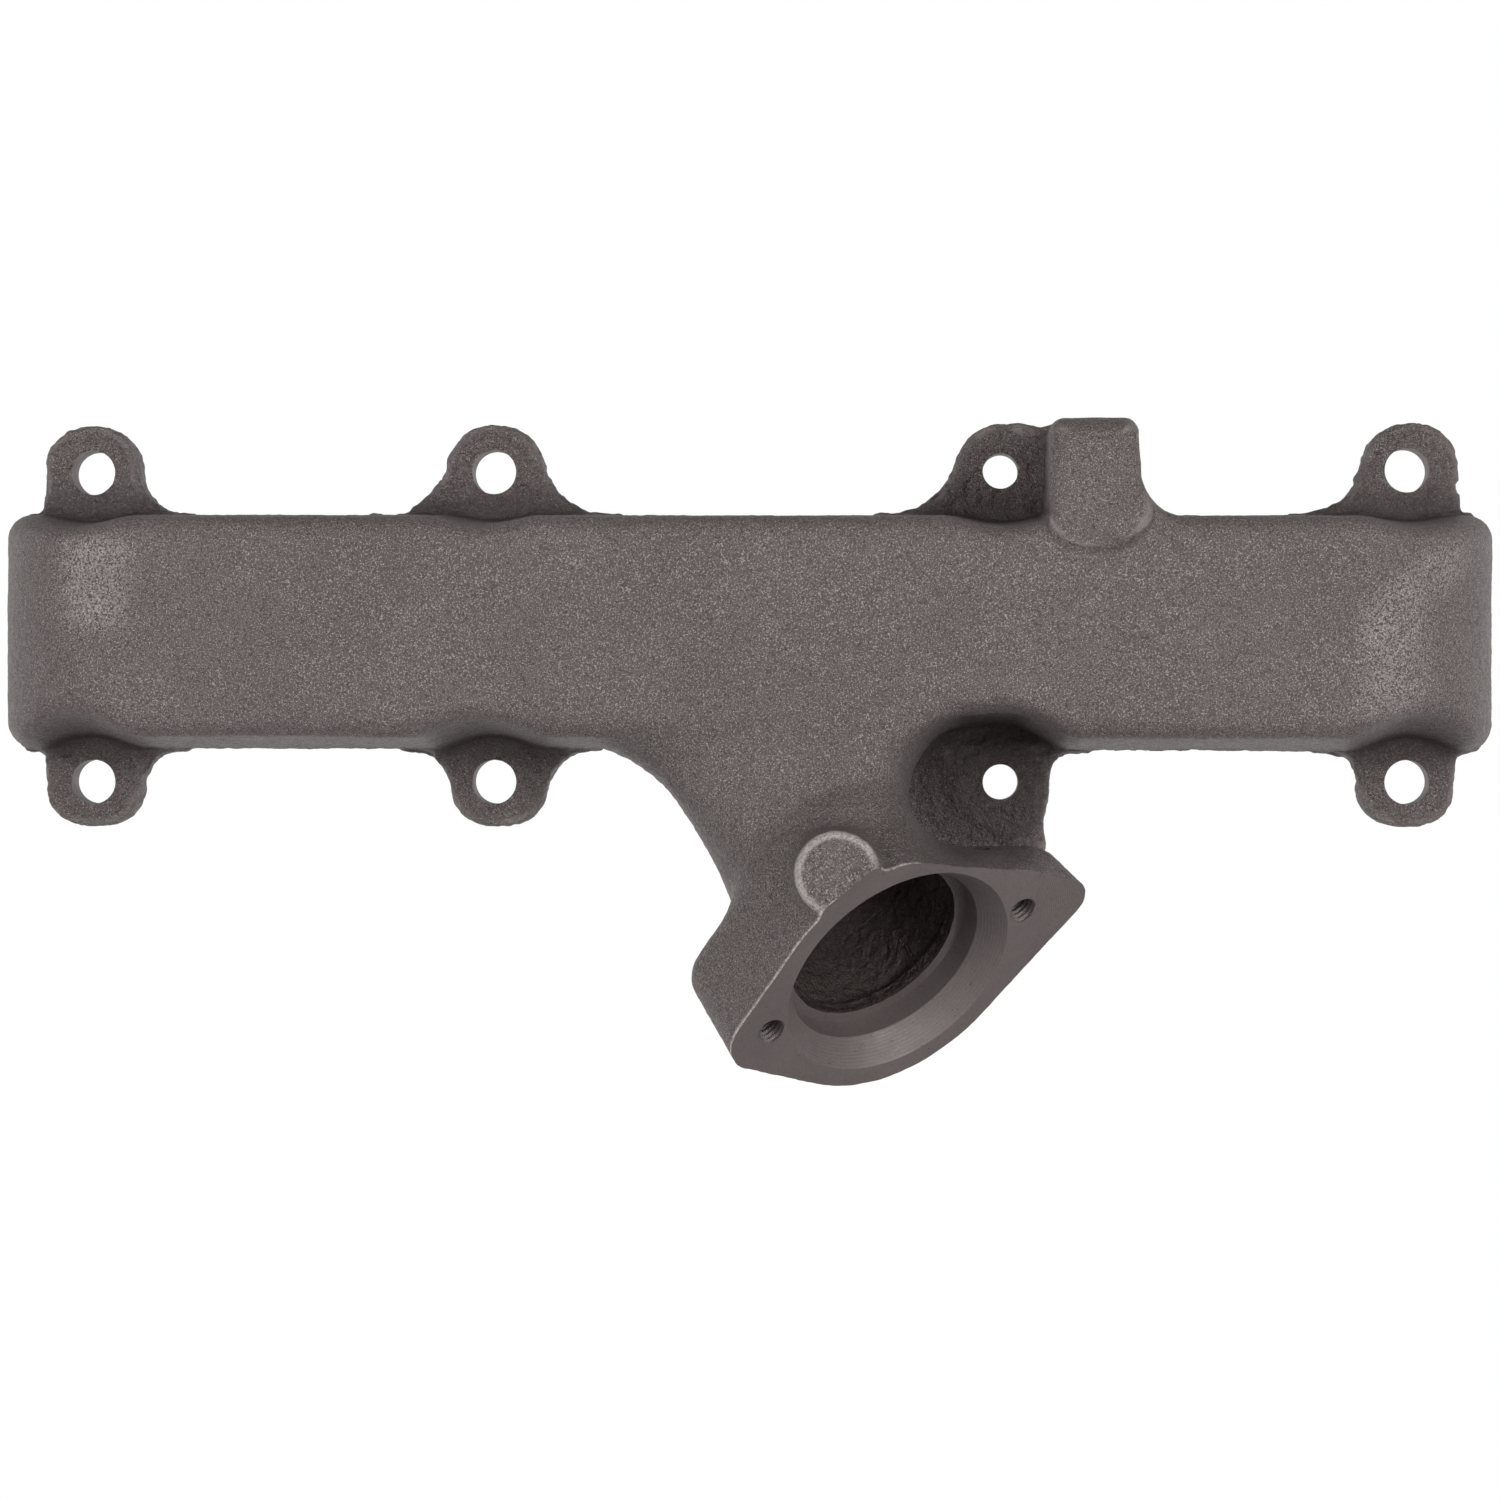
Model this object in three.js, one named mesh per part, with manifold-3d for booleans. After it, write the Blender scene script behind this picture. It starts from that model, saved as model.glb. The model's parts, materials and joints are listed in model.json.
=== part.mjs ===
// Cast-iron exhaust manifold for one bank of four cylinders. A box-section log gathers four
// ports, and one collector neck under it leads to a slanted two-bolt outlet flange.
// Millimetres. X runs along the log, +Y points into the cylinder head and +Z is up. The origin
// is the centre of the head bolt pattern, on the machined face that meets the head.
//
// The real manifold is one casting. Each mesh here is one named feature of it, and neighbouring
// features stand SEAM apart.
import * as THREE from "three";
import { mergeVertices } from "three/addons/utils/BufferGeometryUtils.js";
import { LoftGeometry } from "three/addons/geometries/LoftGeometry.js";
import Module from "manifold-3d";

const wasm = await Module();
wasm.setup();

const SEAM = 0.1;
const CUT_GAP = 0.3;
const ARC_STEPS = 8;

// Head bolts: an upper and a lower row of four columns.
const PORT_PITCH = 117.6;
const MIDDLE_PITCH = 147.5;
const BOLT_ROW = 45.2;
const BOLT_HOLE_R = 6.45;
const LOCATING_HOLE_R = 5.15;
const COLUMNS = [
  -MIDDLE_PITCH / 2 - PORT_PITCH,
  -MIDDLE_PITCH / 2,
  MIDDLE_PITCH / 2,
  MIDDLE_PITCH / 2 + PORT_PITCH,
];
const LOCATING_COLUMN = 2;

// Bolt ears
const EAR_THICKNESS = 12;
const EAR_R = 14;
const EAR_FOOT_RISE = 7;
const SPANNER_R = 15;
const PLATE_LAP = 4;
const PLATE_CORNER_R = 1;

// Log
const LOG_HALF_LENGTH = 216;
const LOG_TOP = 32.3;
const LOG_BOTTOM = -35.3;
const LOG_FRONT = -62;
const LOG_BACK = -14;
const TOP_DRAFT = 2.4;
const BOTTOM_DRAFT = 3.9;
const LOG_EDGE_R = 7;
const LOG_CORNER_R = 6;
const ELBOW_RUN = 38;
const ELBOW_DEPTH = 50;
const WALL = 8;
const ROOF_SPLIT = 22;
const FLOOR_SPLIT = -23.6;
const REAR_WALL_FACE = -8;

// Ports
const PORT_WIDTH = 34;
const PORT_HEIGHT = 46;
const PORT_CORNER_R = 8;
const PORT_FLANGE_HALF_WIDTH = LOG_HALF_LENGTH - COLUMNS[3];

// Outlet: its axis leaves 50.7 degrees off straight outboard (-Y), turned 50.3 degrees below +X.
const OUTLET_TILT = THREE.MathUtils.degToRad(50.7);
const OUTLET_TURN = THREE.MathUtils.degToRad(50.3);
const OUTLET_CENTRE = new THREE.Vector3(44.4, -62, -97.9);
const OUTLET_AXIS = new THREE.Vector3(
  Math.sin(OUTLET_TILT) * Math.cos(OUTLET_TURN),
  -Math.cos(OUTLET_TILT),
  -Math.sin(OUTLET_TILT) * Math.sin(OUTLET_TURN),
);
const OUTLET_ACROSS = new THREE.Vector3(Math.sin(OUTLET_TURN), 0, Math.cos(OUTLET_TURN));
const OUTLET_DOWN = new THREE.Vector3().crossVectors(OUTLET_ACROSS, OUTLET_AXIS);
const FLANGE_THICKNESS = 16;
const FLANGE_R = 41.5;
const FLANGE_TIPS = [
  { centre: new THREE.Vector2(-15.5, -38.5), r: 12 },
  { centre: new THREE.Vector2(23.5, 47.5), r: 8 },
];
const STUDS = [new THREE.Vector2(-16, -37.3), new THREE.Vector2(15, 37.7)];
const STUD_HOLE_R = 4.2;
const STUD_HOLE_DEPTH = 26;
const LUG_R = 12.5;
const LUG_DEPTH = 36;
const LUG_WEB_R = 26;
const LUG_WEB_SHARE = 0.3;
const SEAT_R = 35.3;
const SEAT_INNER_R = 29.8;
const SEAT_DEPTH = 7.6;
const COUNTERBORE_DEPTH = 14.4;
const BORE_R = 26.5;

// Collector neck: rows of half width, half depth and squareness from the log to the flange.
const NECK_START = new THREE.Vector3(14, -35, -29);
const NECK_START_HANDLE = new THREE.Vector3(3, 0, -24);
const NECK_END_HANDLE = 25;
const NECK_ROWS = [
  [44, 27, 3.2],
  [35, 29, 2.8],
  [30, 32, 2.4],
  [31, 36, 2.1],
  [38, 39, 2],
];
const NECK_WALL = 7;
const NECK_OVERRUN = 10;
const NECK_STEPS = 12;
const NECK_SIDES = 40;
const NECK_RING = { left: -34, right: 62 };

// Pocket that clears the bolt head between the log, the neck and the outlet, and the web behind it
const POCKET = { left: 50.7, right: 96, bottom: -61.6, top: -29.6, cornerR: 14 };
const WEB = { left: 40, right: 86, bottom: -66, top: -40, face: -3, cornerR: 4 };

// Block beside the third upper ear, and the round boss beside the outlet
const BLOCK = { left: 88, right: 112.2, top: 58.4, bottom: 22, crest: 35 };
const BLOCK_TOP_DEPTH = 56;
const BLOCK_CREST_DEPTH = 69;
const BLOCK_CORNER_R = 6;
const BOSS_CENTRE = { x: 27.8, z: -69.4 };
const BOSS_R = 11.75;
const BOSS_FACE = -95.3;

const OUTLINE_STEPS = 96;
const FAR = 400;
const BEHIND = 1;

// --- solids ---

function solid(geometry) {
  const bare = new THREE.BufferGeometry().setIndex(geometry.index);
  bare.setAttribute("position", geometry.getAttribute("position"));
  const merged = mergeVertices(bare, 1e-4);
  return new wasm.Manifold(
    new wasm.Mesh({
      numProp: 3,
      vertProperties: merged.attributes.position.array,
      triVerts: new Uint32Array(merged.index.array),
    }),
  );
}

function toGeometry(shape) {
  const mesh = shape.getMesh();
  const geometry = new THREE.BufferGeometry();
  geometry.setAttribute("position", new THREE.BufferAttribute(mesh.vertProperties, 3));
  geometry.setIndex(new THREE.BufferAttribute(mesh.triVerts, 1));
  geometry.computeVertexNormals();
  return geometry;
}

function box(low, high) {
  const size = high.map((value, i) => value - low[i]);
  const geometry = new THREE.BoxGeometry(...size);
  return solid(geometry.translate(...low.map((value, i) => value + size[i] / 2)));
}

const X_AXIS = new THREE.Vector3(1, 0, 0);
const Y_AXIS = new THREE.Vector3(0, 1, 0);
const Z_AXIS = new THREE.Vector3(0, 0, 1);

// Extrudes a shape. Its x and y follow the first two directions and its depth the third.
function prism(shape, depth, [alongX, alongY, alongDepth], origin) {
  const geometry = new THREE.ExtrudeGeometry(shape, {
    depth,
    bevelEnabled: false,
    curveSegments: ARC_STEPS,
  });
  const place = new THREE.Matrix4().makeBasis(alongX, alongY, alongDepth).setPosition(origin);
  return solid(geometry.applyMatrix4(place));
}

// A shape of (Y, Z), run along X
function prismAlongX(shape, from, to) {
  return prism(shape, to - from, [Y_AXIS, Z_AXIS, X_AXIS], new THREE.Vector3(from, 0, 0));
}

// A shape of (X, Z), run towards -Y
function prismOutboard(shape, from, to) {
  const outboard = Y_AXIS.clone().negate();
  return prism(shape, from - to, [X_AXIS, Z_AXIS, outboard], new THREE.Vector3(0, from, 0));
}

// A shape of (X, Y), run up Z
function prismUp(shape, from, to) {
  return prism(shape, to - from, [X_AXIS, Y_AXIS, Z_AXIS], new THREE.Vector3(0, 0, from));
}

// A shape in the outlet's own plane, from one depth below its face to another
function outletPrism(shape, deep, shallow) {
  const origin = outletPoint(0, 0, deep);
  return prism(shape, deep - shallow, [OUTLET_DOWN, OUTLET_ACROSS, OUTLET_AXIS], origin);
}

function outletPoint(down, across, depth) {
  return OUTLET_CENTRE.clone()
    .addScaledVector(OUTLET_DOWN, down)
    .addScaledVector(OUTLET_ACROSS, across)
    .addScaledVector(OUTLET_AXIS, -depth);
}

function circle(x, y, r) {
  return new THREE.Shape().absarc(x, y, r, 0, 2 * Math.PI);
}

function roundedRectangle(x0, y0, x1, y1, r) {
  return new THREE.Shape()
    .absarc(x1 - r, y0 + r, r, -Math.PI / 2, 0)
    .absarc(x1 - r, y1 - r, r, 0, Math.PI / 2)
    .absarc(x0 + r, y1 - r, r, Math.PI / 2, Math.PI)
    .absarc(x0 + r, y0 + r, r, Math.PI, 1.5 * Math.PI);
}

// Everything on the side of a plane that its normal points to
function halfSpace(point, normal) {
  const geometry = new THREE.BoxGeometry(FAR, FAR, FAR).translate(0, 0, FAR / 2);
  const turn = new THREE.Quaternion().setFromUnitVectors(Z_AXIS, normal);
  return solid(geometry.applyQuaternion(turn).translate(...point));
}

// --- log ---

// Cross-section of the log in (Y, Z), drafted from its back towards its front
function logSection(inset) {
  const front = LOG_FRONT + inset;
  const top = LOG_TOP - inset;
  const bottom = LOG_BOTTOM + inset;
  const r = Math.max(LOG_EDGE_R - inset, 2);
  return new THREE.Shape()
    .moveTo(BEHIND, bottom)
    .lineTo(BEHIND, top)
    .lineTo(LOG_BACK, top)
    .lineTo(front + r, top - TOP_DRAFT)
    .quadraticCurveTo(front, top - TOP_DRAFT, front, top - TOP_DRAFT - r)
    .lineTo(front, bottom + BOTTOM_DRAFT + r)
    .quadraticCurveTo(front, bottom + BOTTOM_DRAFT, front + r, bottom + BOTTOM_DRAFT)
    .lineTo(LOG_BACK, bottom);
}

// Plan of the log in (X, Y): a quarter-oval elbow at each end turns the gas along the log
function logPlan(inset) {
  const end = LOG_HALF_LENGTH - inset;
  const run = ELBOW_RUN - inset;
  const depth = ELBOW_DEPTH - inset;
  const elbowX = end - run;
  const elbowY = LOG_FRONT + ELBOW_DEPTH;
  return new THREE.Shape()
    .moveTo(-end, BEHIND)
    .lineTo(-end, elbowY)
    .absellipse(-elbowX, elbowY, run, depth, Math.PI, 1.5 * Math.PI)
    .absellipse(elbowX, elbowY, run, depth, 1.5 * Math.PI, 2 * Math.PI)
    .lineTo(end, BEHIND);
}

// The log as a solid, run past its own back. A positive inset gives its hollow.
function logSolid(inset) {
  const end = LOG_HALF_LENGTH - inset;
  const cornerR = Math.max(LOG_CORNER_R - inset, 2);
  const outline = roundedRectangle(-end, LOG_BOTTOM + inset, end, LOG_TOP - inset, cornerR);
  return prismAlongX(logSection(inset), -end, end)
    .intersect(prismUp(logPlan(inset), -FAR, FAR))
    .intersect(prismOutboard(outline, BEHIND, -FAR));
}

// Room for a bolt head and its spanner in front of every ear
function spannerClearance() {
  let room = null;
  for (const x of COLUMNS) {
    for (const side of [-1, 1]) {
      const bore = prismOutboard(circle(x, side * BOLT_ROW, SPANNER_R), -EAR_THICKNESS, -FAR);
      room = room ? room.add(bore) : bore;
    }
  }
  const { left, right, bottom, top, cornerR } = POCKET;
  const pocket = roundedRectangle(left, bottom, right, top, cornerR);
  return room.add(prismOutboard(pocket, -EAR_THICKNESS, -FAR));
}

// --- ears and port flanges ---

// One ear in (X, Z): a round end about its bolt and two feet that flare into the log
function earShape(x, side, leftFoot, rightFoot) {
  const root = side * ((side > 0 ? LOG_TOP : -LOG_BOTTOM) + SEAM);
  const shoulder = root + side * EAR_FOOT_RISE;
  const middle = side * BOLT_ROW;
  const shape = new THREE.Shape().moveTo(x - leftFoot, root).lineTo(x - EAR_R, shoulder);
  shape.absarc(x, middle, EAR_R, Math.PI, 0, side > 0);
  return shape.lineTo(x + EAR_R, shoulder).lineTo(x + rightFoot, root);
}

function ear(x, side, leftFoot, rightFoot, holeR) {
  const shape = earShape(x, side, leftFoot, rightFoot);
  shape.holes.push(circle(x, side * BOLT_ROW, holeR));
  return prismOutboard(shape, 0, -EAR_THICKNESS);
}

// The third upper ear runs on as a plate to the block beside it.
function plateToBlock() {
  const from = COLUMNS[LOCATING_COLUMN] + EAR_R - PLATE_LAP;
  const to = BLOCK.left - SEAM;
  const shape = roundedRectangle(from, LOG_TOP + SEAM, to, BLOCK.top, PLATE_CORNER_R);
  return prismOutboard(shape, 0, -EAR_THICKNESS);
}

// The third lower ear's web, which closes the pocket's floor as far as the neck and the lug
function pocketWeb() {
  const { left, right, bottom, top, face, cornerR } = WEB;
  const bolt = circle(COLUMNS[LOCATING_COLUMN], -BOLT_ROW, LOCATING_HOLE_R);
  return prismOutboard(roundedRectangle(left, bottom, right, top, cornerR), face, -EAR_THICKNESS)
    .subtract(prismOutboard(bolt, BEHIND, -FAR))
    .subtract(neckLoft(-CUT_GAP, 0))
    .subtract(studLug(STUDS[1], CUT_GAP));
}

function portFlange(x) {
  const half = PORT_FLANGE_HALF_WIDTH;
  const shape = roundedRectangle(x - half, LOG_BOTTOM, x + half, LOG_TOP, LOG_CORNER_R);
  const port = roundedRectangle(
    x - PORT_WIDTH / 2,
    -PORT_HEIGHT / 2,
    x + PORT_WIDTH / 2,
    PORT_HEIGHT / 2,
    PORT_CORNER_R,
  );
  shape.holes.push(port);
  return prismOutboard(shape, 0, LOG_BACK + SEAM);
}

function rearWall(column) {
  const clear = PORT_FLANGE_HALF_WIDTH + SEAM;
  const left = COLUMNS[column] + clear;
  const right = COLUMNS[column + 1] - clear;
  return box([left, LOG_BACK + SEAM, LOG_BOTTOM], [right, REAR_WALL_FACE, LOG_TOP]);
}

// --- neck and outlet ---

const neckEnd = outletPoint(0, 0, FLANGE_THICKNESS);
const neckPath = new THREE.CubicBezierCurve3(
  NECK_START,
  NECK_START.clone().add(NECK_START_HANDLE),
  neckEnd.clone().addScaledVector(OUTLET_AXIS, -NECK_END_HANDLE),
  neckEnd,
);

// One closed ring of the neck: a superellipse across the path
function neckRing(t, inset, slide) {
  const row = t * (NECK_ROWS.length - 1);
  const below = Math.min(Math.floor(row), NECK_ROWS.length - 2);
  const [halfWidth, halfDepth, squareness] = NECK_ROWS[below].map((value, i) =>
    THREE.MathUtils.lerp(value, NECK_ROWS[below + 1][i], row - below),
  );
  const along = neckPath.getTangent(t);
  const across = X_AXIS.clone().lerp(OUTLET_ACROSS, t);
  across.addScaledVector(along, -across.dot(along)).normalize();
  const outward = new THREE.Vector3().crossVectors(along, across);
  const centre = neckPath.getPoint(t).addScaledVector(along, slide);
  const bend = (value) => Math.sign(value) * Math.abs(value) ** (2 / squareness);
  const points = [];
  for (let i = 0; i < NECK_SIDES; i++) {
    const angle = (2 * Math.PI * i) / NECK_SIDES;
    const point = centre.clone();
    point.addScaledVector(across, bend(Math.cos(angle)) * (halfWidth - inset));
    point.addScaledVector(outward, bend(Math.sin(angle)) * (halfDepth - inset));
    points.push(point);
  }
  return points;
}

function neckLoft(inset, overrun) {
  const rings = [];
  for (let i = 0; i <= NECK_STEPS; i++) {
    rings.push(neckRing(i / NECK_STEPS, inset, 0));
  }
  if (overrun > 0) {
    rings.unshift(neckRing(0, inset, -overrun));
    rings.push(neckRing(1, inset, overrun));
  }
  return solid(new LoftGeometry(rings, { capStart: true, capEnd: true }));
}

// The tight outline around a few circles: arcs joined by tangents
function outlineAround(circles) {
  const points = [];
  const reach = ({ centre, r }, way) => centre.dot(way) + r;
  for (let i = 0; i < OUTLINE_STEPS; i++) {
    const angle = (2 * Math.PI * i) / OUTLINE_STEPS;
    const way = new THREE.Vector2(Math.cos(angle), Math.sin(angle));
    const furthest = circles.reduce((a, b) => (reach(a, way) > reach(b, way) ? a : b));
    points.push(furthest.centre.clone().addScaledVector(way, furthest.r));
  }
  return new THREE.Shape(points);
}

// The flange: round about the bore and drawn out to a tip beyond each stud
function flangeShape(grow) {
  const circles = FLANGE_TIPS.map(({ centre, r }) => ({ centre, r: r + grow }));
  circles.push({ centre: new THREE.Vector2(0, 0), r: FLANGE_R + grow });
  return outlineAround(circles);
}

// The gasket cone, the counterbore and the rough bore, turned about the outlet's axis
function outletBore() {
  const coneRun = (SEAT_R - SEAT_INNER_R) / SEAT_DEPTH;
  const profile = [
    [0, 1],
    [SEAT_R + coneRun, 1],
    [SEAT_INNER_R, -SEAT_DEPTH],
    [SEAT_INNER_R, -COUNTERBORE_DEPTH],
    [BORE_R, -COUNTERBORE_DEPTH],
    [BORE_R, -FLANGE_THICKNESS - 1],
    [0, -FLANGE_THICKNESS - 1],
  ].reverse();
  const points = profile.map(([r, height]) => new THREE.Vector2(r, height));
  const geometry = new THREE.LatheGeometry(points, 48);
  const place = new THREE.Matrix4()
    .makeBasis(OUTLET_DOWN, OUTLET_AXIS, OUTLET_ACROSS.clone().negate())
    .setPosition(OUTLET_CENTRE);
  return solid(geometry.applyMatrix4(place));
}

function studHoles() {
  const [first, second] = STUDS.map(({ x, y }) =>
    outletPrism(circle(x, y, STUD_HOLE_R), STUD_HOLE_DEPTH, -1),
  );
  return first.add(second);
}

// The lug behind the flange that backs a stud: round about the stud and webbed to the neck
function studLug(stud, grow) {
  const web = { centre: stud.clone().multiplyScalar(LUG_WEB_SHARE), r: LUG_WEB_R + grow };
  const lug = outlineAround([{ centre: stud, r: LUG_R + grow }, web]);
  return outletPrism(lug, LUG_DEPTH + grow, FLANGE_THICKNESS + SEAM);
}

// --- block and boss ---

function topBlock() {
  const { left, right, top, bottom, crest } = BLOCK;
  const profile = new THREE.Shape()
    .moveTo(0, bottom)
    .lineTo(0, top)
    .lineTo(-BLOCK_TOP_DEPTH, top)
    .lineTo(-BLOCK_CREST_DEPTH, crest)
    .quadraticCurveTo(-BLOCK_CREST_DEPTH, bottom, LOG_FRONT + 2, bottom);
  const outline = roundedRectangle(left, bottom, right, top, BLOCK_CORNER_R);
  return prismAlongX(profile, left, right)
    .intersect(prismOutboard(outline, 0, -FAR))
    .subtract(logSolid(-SEAM))
    .subtract(box([left - 1, LOG_BACK - 1, bottom - 1], [right + 1, 1, LOG_TOP + SEAM]));
}

// A short round boss beside the flange, planed off level with the flange's face
function roundBoss() {
  const shape = circle(BOSS_CENTRE.x, BOSS_CENTRE.z, BOSS_R);
  return prismOutboard(shape, LOG_FRONT, BOSS_FACE)
    .subtract(neckLoft(-CUT_GAP, 0))
    .subtract(outletPrism(flangeShape(CUT_GAP), FLANGE_THICKNESS + CUT_GAP, -BOSS_R))
    .subtract(halfSpace(OUTLET_CENTRE, OUTLET_AXIS));
}

// --- assembly ---

const IRON = { color: 0x6b625e, roughness: 0.72, metalness: 0.55 };
const MACHINED_IRON = { color: 0x7b7371, roughness: 0.45, metalness: 0.75 };

const manifold = new THREE.Group();

function addFeature(name, shape, finish = IRON) {
  const mesh = new THREE.Mesh(toGeometry(shape), new THREE.MeshStandardMaterial(finish));
  mesh.name = name;
  manifold.add(mesh);
}

const clearance = spannerClearance();
const neckCavity = neckLoft(NECK_WALL, NECK_OVERRUN);
const logShell = logSolid(0)
  .subtract(logSolid(WALL))
  .subtract(neckCavity)
  .subtract(clearance);

// The part of the log's shell in a range of X and Z, in front of its back
function logPiece(x0, x1, z0, z1) {
  return logShell.intersect(box([x0, -FAR, z0], [x1, LOG_BACK, z1]));
}

const elbowStart = LOG_HALF_LENGTH - ELBOW_RUN;
const { left: ringLeft, right: ringRight } = NECK_RING;
const wallFoot = FLOOR_SPLIT + SEAM;
const wallHead = ROOF_SPLIT - SEAM;
addFeature("log_top_wall", logPiece(-FAR, FAR, ROOF_SPLIT, FAR));
addFeature("log_bottom_wall_left", logPiece(-FAR, ringLeft - SEAM, -FAR, FLOOR_SPLIT));
addFeature("log_bottom_wall_right", logPiece(ringRight + SEAM, FAR, -FAR, FLOOR_SPLIT));
addFeature("log_front_wall", logPiece(-elbowStart, elbowStart, wallFoot, wallHead));
addFeature("log_end_elbow_left", logPiece(-FAR, -elbowStart - SEAM, wallFoot, wallHead));
addFeature("log_end_elbow_right", logPiece(elbowStart + SEAM, FAR, wallFoot, wallHead));
for (const column of [0, 1, 2]) {
  addFeature(`log_rear_wall_${column + 1}`, rearWall(column));
}

COLUMNS.forEach((x, i) => addFeature(`port_flange_${i + 1}`, portFlange(x), MACHINED_IRON));

const EAR_FEET = [
  { upper: [EAR_R, 25], lower: [EAR_R, 23] },
  { upper: [24, 34], lower: [20, 26] },
  { upper: [32, EAR_R], lower: [14, 21] },
  { upper: [39, EAR_R], lower: [18, EAR_R] },
];
COLUMNS.forEach((x, i) => {
  const located = i === LOCATING_COLUMN;
  const holeR = located ? LOCATING_HOLE_R : BOLT_HOLE_R;
  const upper = ear(x, 1, ...EAR_FEET[i].upper, holeR);
  const lower = ear(x, -1, ...EAR_FEET[i].lower, holeR);
  addFeature(`bolt_ear_upper_${i + 1}`, located ? upper.add(plateToBlock()) : upper);
  addFeature(`bolt_ear_lower_${i + 1}`, located ? lower.add(pocketWeb()) : lower);
});

// The neck is cut in two across its bend, and its upper half carries the log's floor around it.
const waist = neckPath.getPoint(0.5);
const waistAxis = neckPath.getTangent(0.5);
const belowWaist = halfSpace(waist, waistAxis);
const belowSeam = halfSpace(waist.clone().addScaledVector(waistAxis, SEAM), waistAxis);
const inFlange = halfSpace(outletPoint(0, 0, FLANGE_THICKNESS + SEAM), OUTLET_AXIS);
const behindLog = box([-FAR, LOG_BACK, LOG_BOTTOM - SEAM], [FAR, FAR, FAR]);
const neckBody = neckLoft(0, 0)
  .subtract(logSolid(SEAM))
  .subtract(behindLog)
  .add(logPiece(ringLeft, ringRight, -FAR, FLOOR_SPLIT));
addFeature(
  "collector_neck",
  neckBody.subtract(neckCavity).subtract(clearance).subtract(belowWaist),
);
addFeature(
  "outlet_neck",
  neckLoft(0, 0).intersect(belowSeam).subtract(neckCavity).subtract(clearance).subtract(inFlange),
);
STUDS.forEach((stud, i) => {
  const lug = studLug(stud, 0).subtract(neckLoft(-CUT_GAP, 0)).intersect(belowSeam);
  addFeature(`stud_lug_${i + 1}`, lug.subtract(clearance).subtract(studHoles()));
});

const flange = outletPrism(flangeShape(0), FLANGE_THICKNESS, 0);
addFeature(
  "outlet_flange",
  flange.subtract(outletBore()).subtract(studHoles()),
  MACHINED_IRON,
);

addFeature("top_block", topBlock());
addFeature("round_boss", roundBoss());

export default manifold;
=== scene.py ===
"""Looks of the cast-iron exhaust manifold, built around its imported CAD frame.

The casting is one signed-distance field in millimetres: log, ears, neck, flange, block and boss
with their fillets and drafts. Each CAD feature's share of the field is meshed, given its
sand-cast grain, and cut by the machined planes, bores, seat and threads. Neighbouring pieces
share the field and its lattice, so the skin runs through from piece to piece.
"""

import json
import math

import bpy
import numpy as np
import openvdb
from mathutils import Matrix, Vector

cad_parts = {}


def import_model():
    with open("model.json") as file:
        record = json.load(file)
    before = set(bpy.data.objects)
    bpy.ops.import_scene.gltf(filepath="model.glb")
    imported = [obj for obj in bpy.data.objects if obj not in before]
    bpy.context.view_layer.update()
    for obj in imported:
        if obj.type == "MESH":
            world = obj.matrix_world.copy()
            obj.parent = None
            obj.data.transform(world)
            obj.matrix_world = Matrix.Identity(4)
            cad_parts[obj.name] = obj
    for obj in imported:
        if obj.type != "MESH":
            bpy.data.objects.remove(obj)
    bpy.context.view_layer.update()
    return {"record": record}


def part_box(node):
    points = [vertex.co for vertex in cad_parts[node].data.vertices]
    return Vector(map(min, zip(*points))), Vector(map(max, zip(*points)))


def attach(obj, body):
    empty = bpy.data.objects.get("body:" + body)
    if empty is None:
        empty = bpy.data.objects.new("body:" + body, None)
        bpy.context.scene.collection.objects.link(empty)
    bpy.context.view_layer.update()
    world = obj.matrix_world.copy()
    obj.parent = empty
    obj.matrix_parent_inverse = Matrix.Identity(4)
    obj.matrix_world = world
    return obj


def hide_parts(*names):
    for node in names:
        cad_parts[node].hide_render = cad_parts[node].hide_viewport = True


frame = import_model()

MM = 0.001
VOXEL = 0.62
PAD = 4
BAND = 3.0
CHUNK = 20
CELL = 7.0
FAR = 170.0
PIECE_PREFIX = "cast_"
SHARP_ANGLE = math.radians(31)


def cad(node):
    """A CAD node's lowest and highest corner in millimetres."""
    low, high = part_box(node)
    return np.array(low) / MM, np.array(high) / MM


# ---------------------------------------------------------------- sizes, in millimetres

log_low, log_high = cad("log_top_wall")
floor_low, floor_high = cad("log_bottom_wall_left")
SKIN = 0.7
LOG_HALF = log_high[0] - SKIN
LOG_FRONT = cad("log_front_wall")[0][1]
LOG_BACK = log_high[1]
LOG_TOP = log_high[2]
LOG_BOTTOM = floor_low[2] - 0.4
ROOF_SPLIT = log_low[2]
FLOOR_SPLIT = floor_high[2]
TOP_DRAFT = 2.4
BOTTOM_DRAFT = 3.9
ELBOW_RUN = 38.0
ELBOW_DEPTH = 50.0
LOG_TOP_R = 7.0
LOG_BOTTOM_R = 7.0
LOG_WALL = 8.0
THIN_WALL = 4.5
# The log sits very slightly lower on its right
LOG_LEAN = 0.0021
PLENTY = 50.0
REAR_WALL_FACE = cad("log_rear_wall_1")[1][1]

COLUMNS = [float(sum(cad(f"port_flange_{i}"))[0]) / 2 for i in (1, 2, 3, 4)]
PORT_FLANGE_HALF = float(np.subtract(*reversed(cad("port_flange_1")))[0]) / 2
PORT_HALF = (17.0, 23.0)
PORT_R = 8.0

BOLT_ROW = 45.2
BOLT_HOLE_R = [6.45, 6.45, 5.15, 6.45]
EAR_FACE = cad("bolt_ear_upper_1")[0][1]
EAR_ROUND = 2.6
# Each ear's half width, its height above the bolt and how square its end is
EAR_END = {"upper": (13.8, 13.8, 2.15), "lower": (14.0, 12.9, 2.4)}
# How far each ear stands to the right of its bolt
EAR_SHIFT = {"upper": (-0.7, 0.0, 1.3, 1.3), "lower": (-0.2, 1.0, -0.4, 0.1)}
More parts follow.
